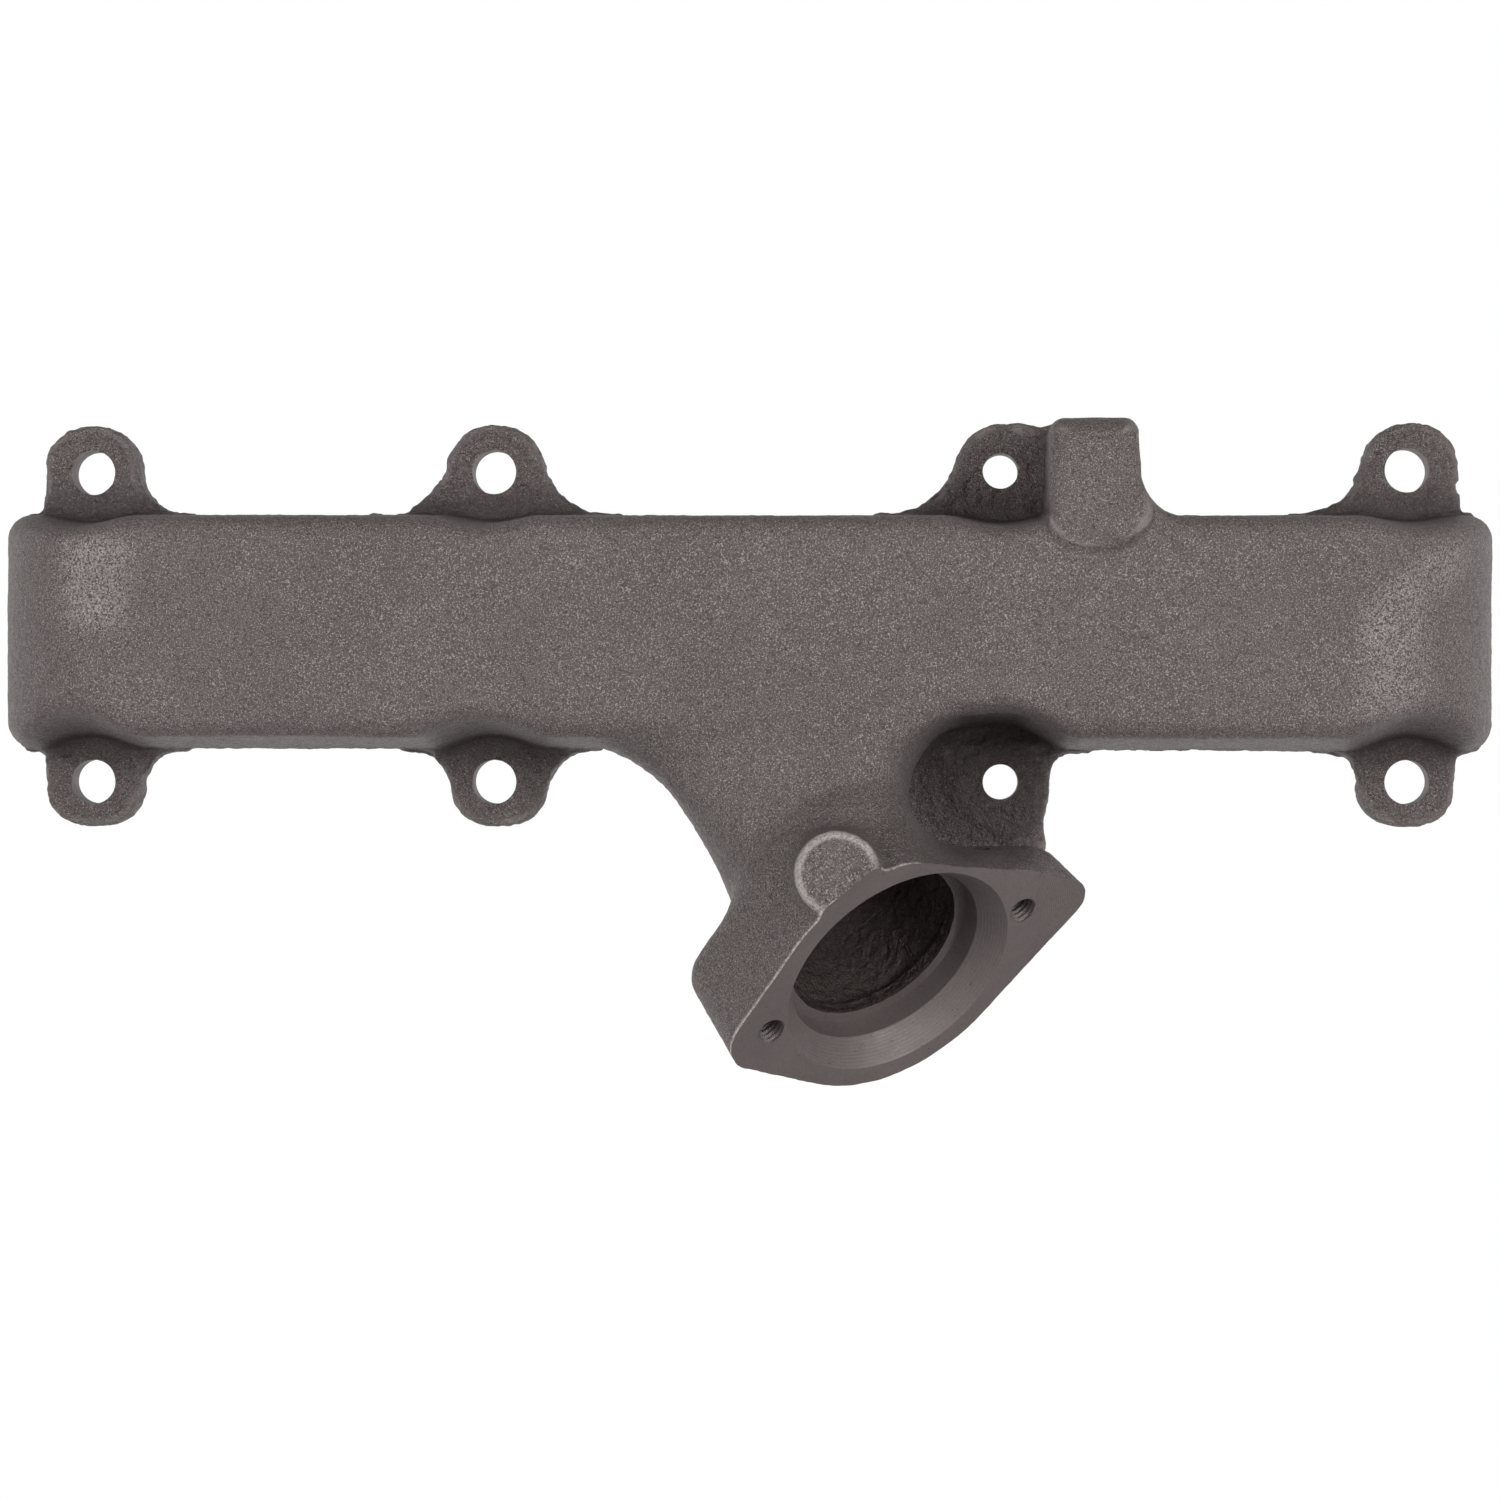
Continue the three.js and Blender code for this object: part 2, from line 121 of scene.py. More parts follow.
# Fillet radii between each ear's left and right flank and the log
EAR_FILLETS = {
    "upper": [(1.5, 14), (20, 20), (21, 6), (19, 1.5)],
    "lower": [(4, 11), (12, 14), (8, 9), (10, 4)],
}
# Spanner clearance round each bolt: radius at the ear's face, and its draft towards the front
CLEARANCE = {
    "upper": [(12.6, 0.12), (12.6, 0.085), (13.4, 0.085), (12.6, 0.12)],
    "lower": [(12.6, 0.17), (12.6, 0.12), (13.0, 0.1), (12.6, 0.17)],
}
POCKET_CENTRE = (69.6, -45.6)
POCKET_HALF = (18.9, 16.0)
POCKET_R = 14.0
POCKET_DRAFT = 0.09
# The web that floors the pocket: left, right, bottom, top and back
WEB = (40.0, 86.0, -67.0, -36.0)
WEB_BACK = -3.0
WEB_R = 4.0
# The plate from the third upper ear to the block
PLATE = (78.0, 95.0, 27.0)

outlet_mount = next(m for m in frame["record"]["mounts"] if m["name"] == "outlet_face")
MOUNT_BELOW_CENTRE = 38.6
AXIS = np.array(outlet_mount["axis"], float)
ACROSS = np.array([-AXIS[2], 0.0, AXIS[0]])
ACROSS /= np.linalg.norm(ACROSS)
DOWN = np.cross(ACROSS, AXIS)
OUTLET = np.array(outlet_mount["pos_m"], float) / MM - MOUNT_BELOW_CENTRE * DOWN
FLANGE_R = 41.4
FLANGE_TIPS = [((-15.5, -38.5), 12.0), ((23.5, 47.5), 8.0)]
FLANGE_THICKNESS = 16.0
LUG_DEPTH = 36.0
LUG_DRAFT = 0.09
LUG_ROUND = 9.0
STUDS = [(-16.0, -37.3), (15.0, 37.7)]
STUD_DEPTH = 26.0
THREAD_PITCH = 25.4 / 16
THREAD_R = 4.76
THREAD_HEIGHT = 0.95
SEAT_R = 35.3
SEAT_INNER_R = 29.8
SEAT_DEPTH = 7.6
COUNTERBORE_DEPTH = 14.4
BORE_R = 26.5

NECK_START = np.array([14.0, -35.0, -29.0])
NECK_START_HANDLE = np.array([3.0, 0.0, -24.0])
NECK_END_HANDLE = 25.0
NECK_WIDTHS = [46.0, 31.5, 25.2, 29.5, 36.0]
NECK_DEPTHS = [22.0, 30.0, 32.0, 35.0, 36.0]
NECK_SQUARENESS = [3.4, 3.0, 2.3, 2.0, 2.0]
NECK_WALL = 7.0
NECK_SAMPLES = 32
NECK_FILLET = 15.0
NECK_TOP = -23.0
NECK_BACK = -2.5
NECK_DEPTH_END = 22.0
NECK_END_ROUND = 6.0
NECK_REACH = (np.array([-62.0, -115.0, -150.0]), np.array([130.0, 6.0, -8.0]))

BLOCK_LEFT = 87.0
BLOCK_RIGHT = 111.8
BLOCK_TOP = cad("top_block")[1][2] - 0.3
BLOCK_BOTTOM = 23.5
BLOCK_CREST = 36.0
BLOCK_TOP_DEPTH = -57.0
BLOCK_CREST_DEPTH = -69.0
BLOCK_NOSE_R = 12.2
BLOCK_STEP = 2.4
BLOCK_STEP_TOP = 30.0
BLOCK_FLARE = 13.0
BLOCK_REACH = (np.array([60.0, -90.0, 5.0]), np.array([140.0, 5.0, 75.0]))

BOSS = (27.8, -69.4)
BOSS_R = 11.75
BOSS_FACE = cad("round_boss")[0][1]
BOSS_ROUND = 2.6
BOSS_DRAFT = 0.05
EAR_DRAFT = 0.05
EAR_JOIN = 3.0
# The web's fillet, and how much it grows towards the flange's upper lug
WEB_FILLET = 4.0
WEB_CORNER_FILLET = 12.0
POCKET_EDGE_R = 7.0
CLEARANCE_EDGE_R = 6.0
# The outlet's parts lie within this distance of its axis, along both its face's directions
OUTLET_HALF = 62.0
BOSS_FILLET = 3.0


# ---------------------------------------------------------------- field tools

def both(a, b, r):
    """Intersection of two fields with its outer edge rounded to r."""
    edge = np.hypot(np.maximum(a + r, 0), np.maximum(b + r, 0))
    return np.minimum(np.maximum(a, b), -r) + edge


def join(a, b, r):
    """Union of two fields with a fillet of r in the corner."""
    edge = np.hypot(np.maximum(r - a, 0), np.maximum(r - b, 0))
    return np.maximum(np.minimum(a, b), r) - edge


def cut(a, b, r):
    """Field a without field b, its edges rounded to r."""
    return both(a, -b, r)


def rounded_rectangle(u, v, half_u, half_v, r):
    du = np.abs(u) - half_u + r
    dv = np.abs(v) - half_v + r
    outside = np.hypot(np.maximum(du, 0), np.maximum(dv, 0))
    return outside + np.minimum(np.maximum(du, dv), 0) - r


def tapered_capsule(u, v, r1, tip, r2):
    """A circle of r1 about the origin drawn out by tangents to one of r2 at the tip."""
    length = math.hypot(*tip)
    along = (u * tip[0] + v * tip[1]) / length
    aside = np.abs(u * tip[1] - v * tip[0]) / length
    slope = (r1 - r2) / length
    rise = math.sqrt(1 - slope * slope)
    where = along * rise - aside * slope
    flank = aside * rise + along * slope - r1
    far_end = np.hypot(aside, along - length) - r2
    near_end = np.hypot(aside, along) - r1
    return np.where(where < 0, near_end, np.where(where > rise * length, far_end, flank))


def bezier(controls, t):
    """A Bezier curve of any order through numbers or points, at many places t."""
    controls = np.array(controls, float)
    order = len(controls) - 1
    t = np.asarray(t, float)
    weights = [math.comb(order, i) * t**i * (1 - t) ** (order - i) for i in range(order + 1)]
    return np.tensordot(np.array(weights).T, controls, 1)


def meets(low, high, reach):
    return bool(np.all(high > reach[0]) and np.all(low < reach[1]))


def outlet_frame(x, y, z):
    """How far each point lies down, across and below the outlet's face."""
    px, py, pz = x - OUTLET[0], y - OUTLET[1], z - OUTLET[2]
    down = px * DOWN[0] + py * DOWN[1] + pz * DOWN[2]
    across = px * ACROSS[0] + py * ACROSS[1] + pz * ACROSS[2]
    depth = -(px * AXIS[0] + py * AXIS[1] + pz * AXIS[2])
    return down, across, depth


# ---------------------------------------------------------------- the casting's field

def log_field(x, y, z, inset):
    z = z + LOG_LEAN * x
    run, depth = ELBOW_RUN - inset, ELBOW_DEPTH - inset
    beyond = np.abs(x) - (LOG_HALF - ELBOW_RUN)
    ahead = (LOG_FRONT + ELBOW_DEPTH) - y
    reach = np.hypot(beyond / run, ahead / depth)
    steep = np.maximum(np.hypot(beyond / run**2, ahead / depth**2), 1e-4)
    plan = np.maximum(beyond - run, ahead - depth)
    plan = np.where((beyond > 0) & (ahead > 0), reach * (reach - 1) / steep, plan)
    forward = np.clip((LOG_BACK - y) / (LOG_BACK - LOG_FRONT), 0, 1)
    top = z - (LOG_TOP - inset) + TOP_DRAFT * forward
    bottom = (LOG_BOTTOM + inset) - z + BOTTOM_DRAFT * forward
    return both(both(plan, top, LOG_TOP_R), bottom, LOG_BOTTOM_R)


def rear_recesses(x, y):
    """The gaps between port flanges, behind the log's rear wall."""
    gaps = None
    for left, right in zip(COLUMNS, COLUMNS[1:]):
        middle = (left + right) / 2
        half = (right - left) / 2 - PORT_FLANGE_HALF
        gap = both(np.abs(x - middle) - half, REAR_WALL_FACE - y, 4.0)
        gaps = gap if gaps is None else np.minimum(gaps, gap)
    return gaps


def ear_field(x, y, z, column, row):
    side = 1 if row == "upper" else -1
    root = LOG_TOP if row == "upper" else -LOG_BOTTOM
    up = side * z
    half, height, power = EAR_END[row]
    aside = x - COLUMNS[column] - EAR_SHIFT[row][column]
    above = up - BOLT_ROW
    widen = EAR_DRAFT * np.maximum(-above, 0)
    squared = np.abs(aside / half) ** power + (np.maximum(above, 0) / height) ** power
    stem = (squared ** (1 / power) - 1) * half - widen
    left_r, right_r = EAR_FILLETS[row][column]
    fillet = np.where(aside < 0, left_r, right_r)
    reach = half + fillet + 2
    outline = join(stem, up - root, fillet)
    outline = np.maximum(outline, np.abs(aside) - reach)
    outline = np.maximum(outline, root - 3 - up)
    return both(outline, EAR_FACE - y, EAR_ROUND)


def clearance_field(x, y, z, column, row):
    side = 1 if row == "upper" else -1
    r, draft = CLEARANCE[row][column]
    forward = EAR_FACE - y
    cone = np.hypot(x - COLUMNS[column], z - side * BOLT_ROW) - r - draft * forward
    return np.maximum(cone, -forward)


def pocket_field(x, y, z):
    forward = EAR_FACE - y
    outline = rounded_rectangle(x - POCKET_CENTRE[0], z - POCKET_CENTRE[1], *POCKET_HALF, POCKET_R)
    return np.maximum(outline - POCKET_DRAFT * forward, -forward)


neck_end = OUTLET - FLANGE_THICKNESS * AXIS
NECK_PATH = [NECK_START, NECK_START + NECK_START_HANDLE, neck_end - NECK_END_HANDLE * AXIS, neck_end]


def neck_stations():
    """Centre, tangent, sideways and outward directions and section at places along the neck."""
    t = np.linspace(0, 1, NECK_SAMPLES)
    centres = bezier(NECK_PATH, t)
    hodograph = [b - a for a, b in zip(NECK_PATH, NECK_PATH[1:])]
    tangents = bezier(hodograph, t)
    tangents /= np.linalg.norm(tangents, axis=1, keepdims=True)
    sideways = (1 - t)[:, None] * np.array([1.0, 0, 0]) + t[:, None] * ACROSS
    sideways -= np.sum(sideways * tangents, axis=1, keepdims=True) * tangents
    sideways /= np.linalg.norm(sideways, axis=1, keepdims=True)
    outward = np.cross(tangents, sideways)
    section = np.stack([bezier(c, t) for c in (NECK_WIDTHS, NECK_DEPTHS, NECK_SQUARENESS)], 1)
    return centres, tangents, sideways, outward, section


STATIONS = [part.astype(np.float32) for part in neck_stations()]


def neck_place(x, y, z):
    """For each point, its sideways and outward distance from the neck's line, and the section."""
    centres, tangents, sideways, outward, section = STATIONS
    nearest = None
    index = None
    for i, c in enumerate(centres):
        far = (x - c[0]) ** 2 + (y - c[1]) ** 2 + (z - c[2]) ** 2
        if nearest is None:
            nearest = far
            index = np.zeros(far.shape, np.int16)
        else:
            closer = far < nearest
            nearest[closer] = far[closer]
            index[closer] = i
    spacing = np.linalg.norm(centres[1:] - centres[:-1], axis=1).mean()
    c, tangent = centres[index], tangents[index]
    p = [x - c[..., 0], y - c[..., 1], z - c[..., 2]]
    ahead = sum(p[k] * tangent[..., k] for k in range(3)) / spacing
    place = np.clip(index + ahead, 0, NECK_SAMPLES - 1.001)
    first = place.astype(np.int16)
    share = (place - first)[..., None].astype(np.float32)

    def blend(values):
        return values[first] * (1 - share) + values[first + 1] * share

    c, across, out, size = (blend(v) for v in (centres, sideways, outward, section))
    p = [x - c[..., 0], y - c[..., 1], z - c[..., 2]]
    u = sum(p[k] * across[..., k] for k in range(3))
    v = sum(p[k] * out[..., k] for k in range(3))
    return u, v, size


def neck_field(place, inset):
    u, v, size = place
    half_u, half_v, power = size[..., 0] - inset, size[..., 1] - inset, size[..., 2]
    ratio = (np.abs(u / half_u) ** power + np.abs(v / half_v) ** power) ** (1 / power)
    reach = np.hypot(u, v)
    return np.where(ratio > 0.05, reach * (1 - 1 / np.maximum(ratio, 0.05)), -np.minimum(half_u, half_v))


def flange_outline(down, across):
    first, second = (
        tapered_capsule(down, across, FLANGE_R, tip, tip_r) for tip, tip_r in FLANGE_TIPS
    )
    return np.minimum(first, second)


def flange_field(down, across, depth):
    outline = flange_outline(down, across) + LUG_DRAFT * np.maximum(depth, 0)
    return both(outline, depth - LUG_DEPTH, LUG_ROUND)


def block_field(x, y, z):
    middle = (BLOCK_LEFT + BLOCK_RIGHT) / 2
    half = (BLOCK_RIGHT - BLOCK_LEFT) / 2
    aside = np.abs(x - middle) - half
    lean = 0.03 * (BLOCK_TOP - z)
    sides = both(aside - lean, z - BLOCK_TOP, 4.2)
    outline = both(sides, BLOCK_BOTTOM - z, BLOCK_NOSE_R)
    slope = (BLOCK_CREST_DEPTH - BLOCK_TOP_DEPTH) / (BLOCK_CREST - BLOCK_TOP)
    upper = (BLOCK_TOP_DEPTH + slope * (z - BLOCK_TOP) - y) * 0.88
    lower = (BLOCK_CREST_DEPTH + 0.42 * (BLOCK_CREST - z) - y) * 0.92
    front = both(upper, lower, 18.0)
    nose = both(outline, front, 6.0)
    step = both(outline - BLOCK_STEP, LOG_FRONT - 1.6 - y, 1.4)
    step = both(step, z - BLOCK_STEP_TOP, 4.0)
    return nose, step


def web_field(x, y, z):
    """The pocket's floor, between the third lower ear, the neck and the stud's lug."""
    left, right, bottom, top = WEB
    middle_x, middle_z = (left + right) / 2, (bottom + top) / 2
    outline = rounded_rectangle(x - middle_x, z - middle_z, right - middle_x, top - middle_z, WEB_R)
    return both(both(outline, EAR_FACE - y, EAR_ROUND), y - WEB_BACK, 1.0)


def plate_field(x, y, z):
    """The plate that carries the third upper ear on to the block."""
    left, right, bottom = PLATE
    middle_x, middle_z = (left + right) / 2, (bottom + BLOCK_TOP) / 2
    outline = rounded_rectangle(x - middle_x, z - middle_z, right - middle_x, BLOCK_TOP - middle_z, 1.5)
    return both(outline, EAR_FACE - y, EAR_ROUND)


def boss_field(x, y, z):
    wall = np.hypot(x - BOSS[0], z - BOSS[1]) - BOSS_R - BOSS_DRAFT * (y - BOSS_FACE)
    return both(wall, BOSS_FACE - y, BOSS_ROUND)


def cavity_field(x, y, z, near_neck, neck, depth, bore):
    inside = both(log_field(x, y, z, LOG_WALL), y - LOG_BACK, 3.0)
    for column in COLUMNS:
        port = rounded_rectangle(x - column, z, *PORT_HALF, PORT_R)
        inside = join(inside, np.maximum(port, LOG_BACK - 8 - y), 3.0)
    if near_neck:
        passage = both(neck_field(neck, NECK_WALL), COUNTERBORE_DEPTH + 4 - depth, 3.0)
        inside = join(inside, passage, 6.0)
        inside = np.minimum(inside, both(bore, depth - COUNTERBORE_DEPTH - 12, 0.1))
    return inside


def casting_field(x, y, z, low, high):
    body = log_field(x, y, z, 0)
    body = cut(body, rear_recesses(x, y), 1.5)
    near_neck = meets(low, high, NECK_REACH)
    neck = depth = bore = None
    if near_neck:
        neck = neck_place(x, y, z)
        down, across, depth = outlet_frame(x, y, z)
        bore = np.hypot(down, across) - BORE_R
        tube = both(neck_field(neck, 0), z - NECK_TOP, 8.0)
        tube = both(tube, NECK_DEPTH_END - depth, NECK_END_ROUND)
        tube = both(tube, y - NECK_BACK, 4.0)
        outlet = join(tube, flange_field(down, across, depth), 8.0)
        body = join(body, outlet, NECK_FILLET)
        pocket = pocket_field(x, y, z)
        body = cut(body, pocket, POCKET_EDGE_R)
    room = pocket if near_neck else np.float32(PLENTY)
    for row in EAR_END:
        for column in range(len(COLUMNS)):
            scallop = clearance_field(x, y, z, column, row)
            body = cut(body, scallop, CLEARANCE_EDGE_R)
            room = np.minimum(room, scallop)
    if meets(low, high, BLOCK_REACH):
        nose, step = block_field(x, y, z)
        flare = 3.0 + (BLOCK_FLARE - 3.0) * smooth_step(BLOCK_RIGHT - 14, BLOCK_RIGHT + 3, x)
        body = join(body, step, 2.0)
        body = join(body, nose, flare)
        body = join(body, plate_field(x, y, z), 3.0)
    for row in EAR_END:
        for column in range(len(COLUMNS)):
            body = join(body, ear_field(x, y, z, column, row), EAR_JOIN)
    if near_neck:
        corner = smooth_step(68.0, 82.0, x) * smooth_step(-56.0, -66.0, z)
        body = join(body, web_field(x, y, z), WEB_FILLET + WEB_CORNER_FILLET * corner)
        body = join(body, boss_field(x, y, z), BOSS_FILLET)
    inside = cavity_field(x, y, z, near_neck, neck, depth, bore)
    inside = cut(inside, room - THIN_WALL, 2.0)
    return cut(body, inside, 1.0)


# ---------------------------------------------------------------- sand-cast grain

def lattice_value(ix, iy, iz, seed):
    """A steady pseudo-random number from -1 to 1 for each whole-numbered place."""
    h = (ix * 73856093) ^ (iy * 19349663) ^ (iz * 83492791) ^ (seed * 2654435761)
    h = (h ^ (h >> 13)) * 1274126177
    h = (h ^ (h >> 16)) & 0xFFFF
    return h.astype(np.float32) / 32767.5 - 1.0


def noise(points, size, seed):
    """Smooth value noise at points, with lumps of about the given size."""
    p = points / size + 1000.0
    base = np.floor(p).astype(np.int64)
    f = (p - base).astype(np.float32)
    f = f * f * (3 - 2 * f)
    total = 0
    for dx in (0, 1):
        wx = f[:, 0] if dx else 1 - f[:, 0]
        for dy in (0, 1):
            wy = f[:, 1] if dy else 1 - f[:, 1]
            for dz in (0, 1):
                wz = f[:, 2] if dz else 1 - f[:, 2]
                corner = lattice_value(base[:, 0] + dx, base[:, 1] + dy, base[:, 2] + dz, seed)
                total = total + wx * wy * wz * corner
    return total


def smooth_step(low, high, value):
    t = np.clip((value - low) / (high - low), 0, 1)
    return t * t * (3 - 2 * t)


def coarseness(p):
    """From 0 to 1, how coarse the sand was: most in the recesses round the bolts."""
    x, y, z = p[:, 0], p[:, 1], p[:, 2]
    near_face = smooth_step(EAR_FACE - 9, EAR_FACE - 1, y)
    beyond = smooth_step(LOG_TOP - 3, LOG_TOP + 3, np.where(z > 0, z, -z - 3))
    near_pocket = smooth_step(30.0, 24.0, np.hypot(x - COLUMNS[2], z + BOLT_ROW)) * near_face
    ears = near_face * beyond * smooth_step(-72.0, -62.0, z)
    down, across, depth = outlet_frame(x, y, z)
    in_bore = smooth_step(BORE_R + 4, BORE_R + 2, np.hypot(down, across))
    in_bore = in_bore * smooth_step(COUNTERBORE_DEPTH + 0.5, COUNTERBORE_DEPTH + 3, depth)
    return np.maximum(np.maximum(ears, near_pocket), in_bore * (depth < 40))


def shade(p):
    """From 0 to 1, painted shade in the feet of the ears and in the pocket, the recesses that get little
    light.
    """
    x, y, z = p[:, 0], p[:, 1], p[:, 2]
    height = np.abs(z)
    foot = smooth_step(45.0, 33.0, height) * smooth_step(27.0, 30.0, height)
    in_pocket = smooth_step(3.0, -1.0, pocket_field(x, y, z))
    return smooth_step(EAR_FACE - 14, EAR_FACE - 3, y) * np.maximum(foot, in_pocket)


def polish(p):
    """From 0 to 1, a painted highlight on the log's proud shoulders by its elbows, where the side lights'
    reflection falls.
    """
    x, y, z = p[:, 0], p[:, 1], p[:, 2]
    lean = np.where(x > 0, 1.3 * np.maximum(z - 4, 0), 0.0)
    middle = LOG_HALF - ELBOW_RUN + 5 + lean
    band = smooth_step(15, 2, np.abs(np.abs(x) - middle))
    height = smooth_step(LOG_BOTTOM + 3, LOG_BOTTOM + 14, z) * smooth_step(LOG_TOP - 5, LOG_TOP - 12, z)
    left_only = np.where(x > 0, 1.0, smooth_step(-6.0, 4.0, z))
    return band * height * left_only * smooth_step(LOG_FRONT + 26, LOG_FRONT + 6, y)


def burr(p):
    """From 0 to 1, a bright edge on the upper side of the flange's rim, partly fresh-cut burr and partly
    painted highlight, and a painted highlight on the boss's upper-left rim.
    """
    x, y, z = p[:, 0], p[:, 1], p[:, 2]
    down, across, depth = outlet_frame(x, y, z)
    outline = flange_outline(down, across)
    flange = smooth_step(1.1, 0.5, np.abs(depth)) * smooth_step(-1.6, -0.9, outline) * (outline < 2)
    flange = flange * smooth_step(8.0, -6.0, down)
    ring = smooth_step(1.5, 0.5, np.abs(np.hypot(x - BOSS[0], z - BOSS[1]) - BOSS_R + 0.9))
    ring = ring * smooth_step(BOSS_FACE + 3.4, BOSS_FACE + 2.2, y)
    ring = ring * smooth_step(10.0, 2.0, x - BOSS[0] - (z - BOSS[1]))
    return np.maximum(flange, 0.75 * ring)


def raggedness(p):
    """From 0 to 1, how ragged the parting flash left the skin: along the feet of the ears."""
    x, y, z = p[:, 0], p[:, 1], p[:, 2]
    level = smooth_step(LOG_TOP - 1, LOG_TOP + 1, np.where(z > 0, z, -z - 3))
    level = level * smooth_step(LOG_TOP + 22, LOG_TOP + 6, np.abs(z))
    return level * smooth_step(EAR_FACE - 4, EAR_FACE + 1, y)


def grain(p):
    """How far the cast skin stands out at each point, in millimetres."""
    coarse = coarseness(p)
    fine = noise(p, 1.5, 1) * 0.1 + noise(p, 2.6, 2) * 0.08
    broad = noise(p, 7.0, 3) * 0.12 + noise(p, 19.0, 4) * 0.2
    lumps = noise(p, 1.7, 5) * 0.3 + noise(p, 3.1, 6) * 0.22
    flash = smooth_step(0.1, 0.45, noise(p, 5.0, 7)) * 0.9 * raggedness(p)
    return fine + broad * (1 - 0.5 * coarse) + lumps * coarse + flash


# ---------------------------------------------------------------- meshes

def signed_volume(points, faces):
    fans = np.array([(face[0], b, c) for face in faces for b, c in zip(face[1:], face[2:])])
    a, b, c = (points[fans[:, k]] for k in range(3))
    return float(np.sum(a * np.cross(b, c)))


def new_object(name, points, faces, materials):
    """A mesh from points in metres. A closed one gets its faces turned outwards."""
    points = np.asarray(points, float)
    if signed_volume(points - points.mean(0), faces) < 0:
        faces = [tuple(reversed(face)) for face in faces]
    mesh = bpy.data.meshes.new(name)
    mesh.from_pydata(points.tolist(), [], faces)
    for m in materials:
        mesh.materials.append(m)
    made = bpy.data.objects.new(name, mesh)
    bpy.context.scene.collection.objects.link(made)
    return made


def quad_object(name, points, quads, material):
    """A mesh of quads from arrays of points in millimetres and of corner numbers."""
    mesh = bpy.data.meshes.new(name)
    mesh.vertices.add(len(points))
    mesh.vertices.foreach_set("co", (points * MM).astype(np.float32).ravel())
    mesh.loops.add(quads.size)
    mesh.loops.foreach_set("vertex_index", quads.astype(np.int32).ravel())
    mesh.polygons.add(len(quads))
    mesh.polygons.foreach_set("loop_start", np.arange(0, quads.size, 4, dtype=np.int32))
    mesh.update(calc_edges=True)
    mesh.materials.append(material)
    made = bpy.data.objects.new(PIECE_PREFIX + name, mesh)
    bpy.context.scene.collection.objects.link(made)
    return made


def copy_of(piece, name):
    made = bpy.data.objects.new(PIECE_PREFIX + name, piece.data.copy())
    EDGE_MAPS[made.name] = EDGE_MAPS[piece.name]
    bpy.context.scene.collection.objects.link(made)
    return made


def vertex_normals(mesh):
    normals = np.empty(len(mesh.vertices) * 3, np.float32)
    mesh.vertex_normals.foreach_get("vector", normals)
    return normals.reshape(-1, 3)


def axis_places(numbers, axis):
    """Lattice numbers along one axis as millimetres, shaped to broadcast over a block."""
    shape = [1, 1, 1]
    shape[axis] = len(numbers)
    return (np.asarray(numbers, np.float32) * np.float32(VOXEL)).reshape(shape)


def sample_field(first, last):
    """The casting's field in voxels on a block of the lattice, worked out only near the skin."""
    starts = [list(range(first[k], last[k], CHUNK)) for k in range(3)]
    middles = [axis_places([s + CHUNK / 2 for s in starts[k]], k) for k in range(3)]
    rough = casting_field(*middles, first * VOXEL, last * VOXEL)
    rough = np.broadcast_to(rough, [len(s) for s in starts])
    near = CHUNK * VOXEL * 0.87 + 4
    field = np.where(rough < 0, -BAND, BAND).astype(np.float32)
    field = field.repeat(CHUNK, 0).repeat(CHUNK, 1).repeat(CHUNK, 2)
    for place in np.argwhere(np.abs(rough) < near):
        low = np.array([starts[k][place[k]] for k in range(3)])
        parts = [axis_places(range(low[k], low[k] + CHUNK), k) for k in range(3)]
        values = casting_field(*parts, low * VOXEL, (low + CHUNK) * VOXEL)
        at = tuple(slice(i * CHUNK, (i + 1) * CHUNK) for i in place)
        field[at] = np.clip(values / VOXEL, -BAND, BAND)
    size = last - first
    return np.ascontiguousarray(field[: size[0], : size[1], : size[2]])


EDGE_STEP = 2


def edge_map(field):
    """How strongly the skin bends at each lattice point: above 0 on rims, below 0 in corners."""
    bend = -6 * field
    for axis in range(3):
        bend += np.roll(field, EDGE_STEP, axis) + np.roll(field, -EDGE_STEP, axis)
    return bend / (EDGE_STEP**2 * VOXEL)


def on_lattice(values, first, points):
    """Lattice values blended at points in millimetres."""
    place = points / VOXEL - first
    place = np.clip(place, 0, np.array(values.shape) - 1.001)
    base = place.astype(int)
    share = place - base
    total = np.zeros(len(points), np.float32)
    for corner in np.ndindex(2, 2, 2):
        weight = np.prod(np.where(corner, share, 1 - share), axis=1)
        total += weight * values[tuple((base + corner).T)]
    return total


EDGE_MAPS = {}


def cast_block(name, low, high, material):
    """The casting's skin within a box, closed off a few voxels outside it."""
    first = np.floor(np.array(low) / VOXEL).astype(int) - PAD
    last = np.ceil(np.array(high) / VOXEL).astype(int) + PAD
    field = sample_field(first, last)
    EDGE_MAPS[PIECE_PREFIX + name] = (edge_map(field), first)
    for axis in range(3):
        for end in (0, -1):
            rim = [slice(None)] * 3
            rim[axis] = end
            field[tuple(rim)] = BAND
    grid = openvdb.FloatGrid(background=BAND)
    grid.copyFromArray(field, tolerance=0.0)
    points, quads = grid.convertToQuads(isovalue=0.0)
    points = (points + first) * VOXEL
    made = quad_object(name, points, quads[:, ::-1], material)
    shift = grain(points)[:, None] * vertex_normals(made.data)
    made.data.vertices.foreach_set("co", ((points + shift) * MM).astype(np.float32).ravel())
    made.data.update()
    return made


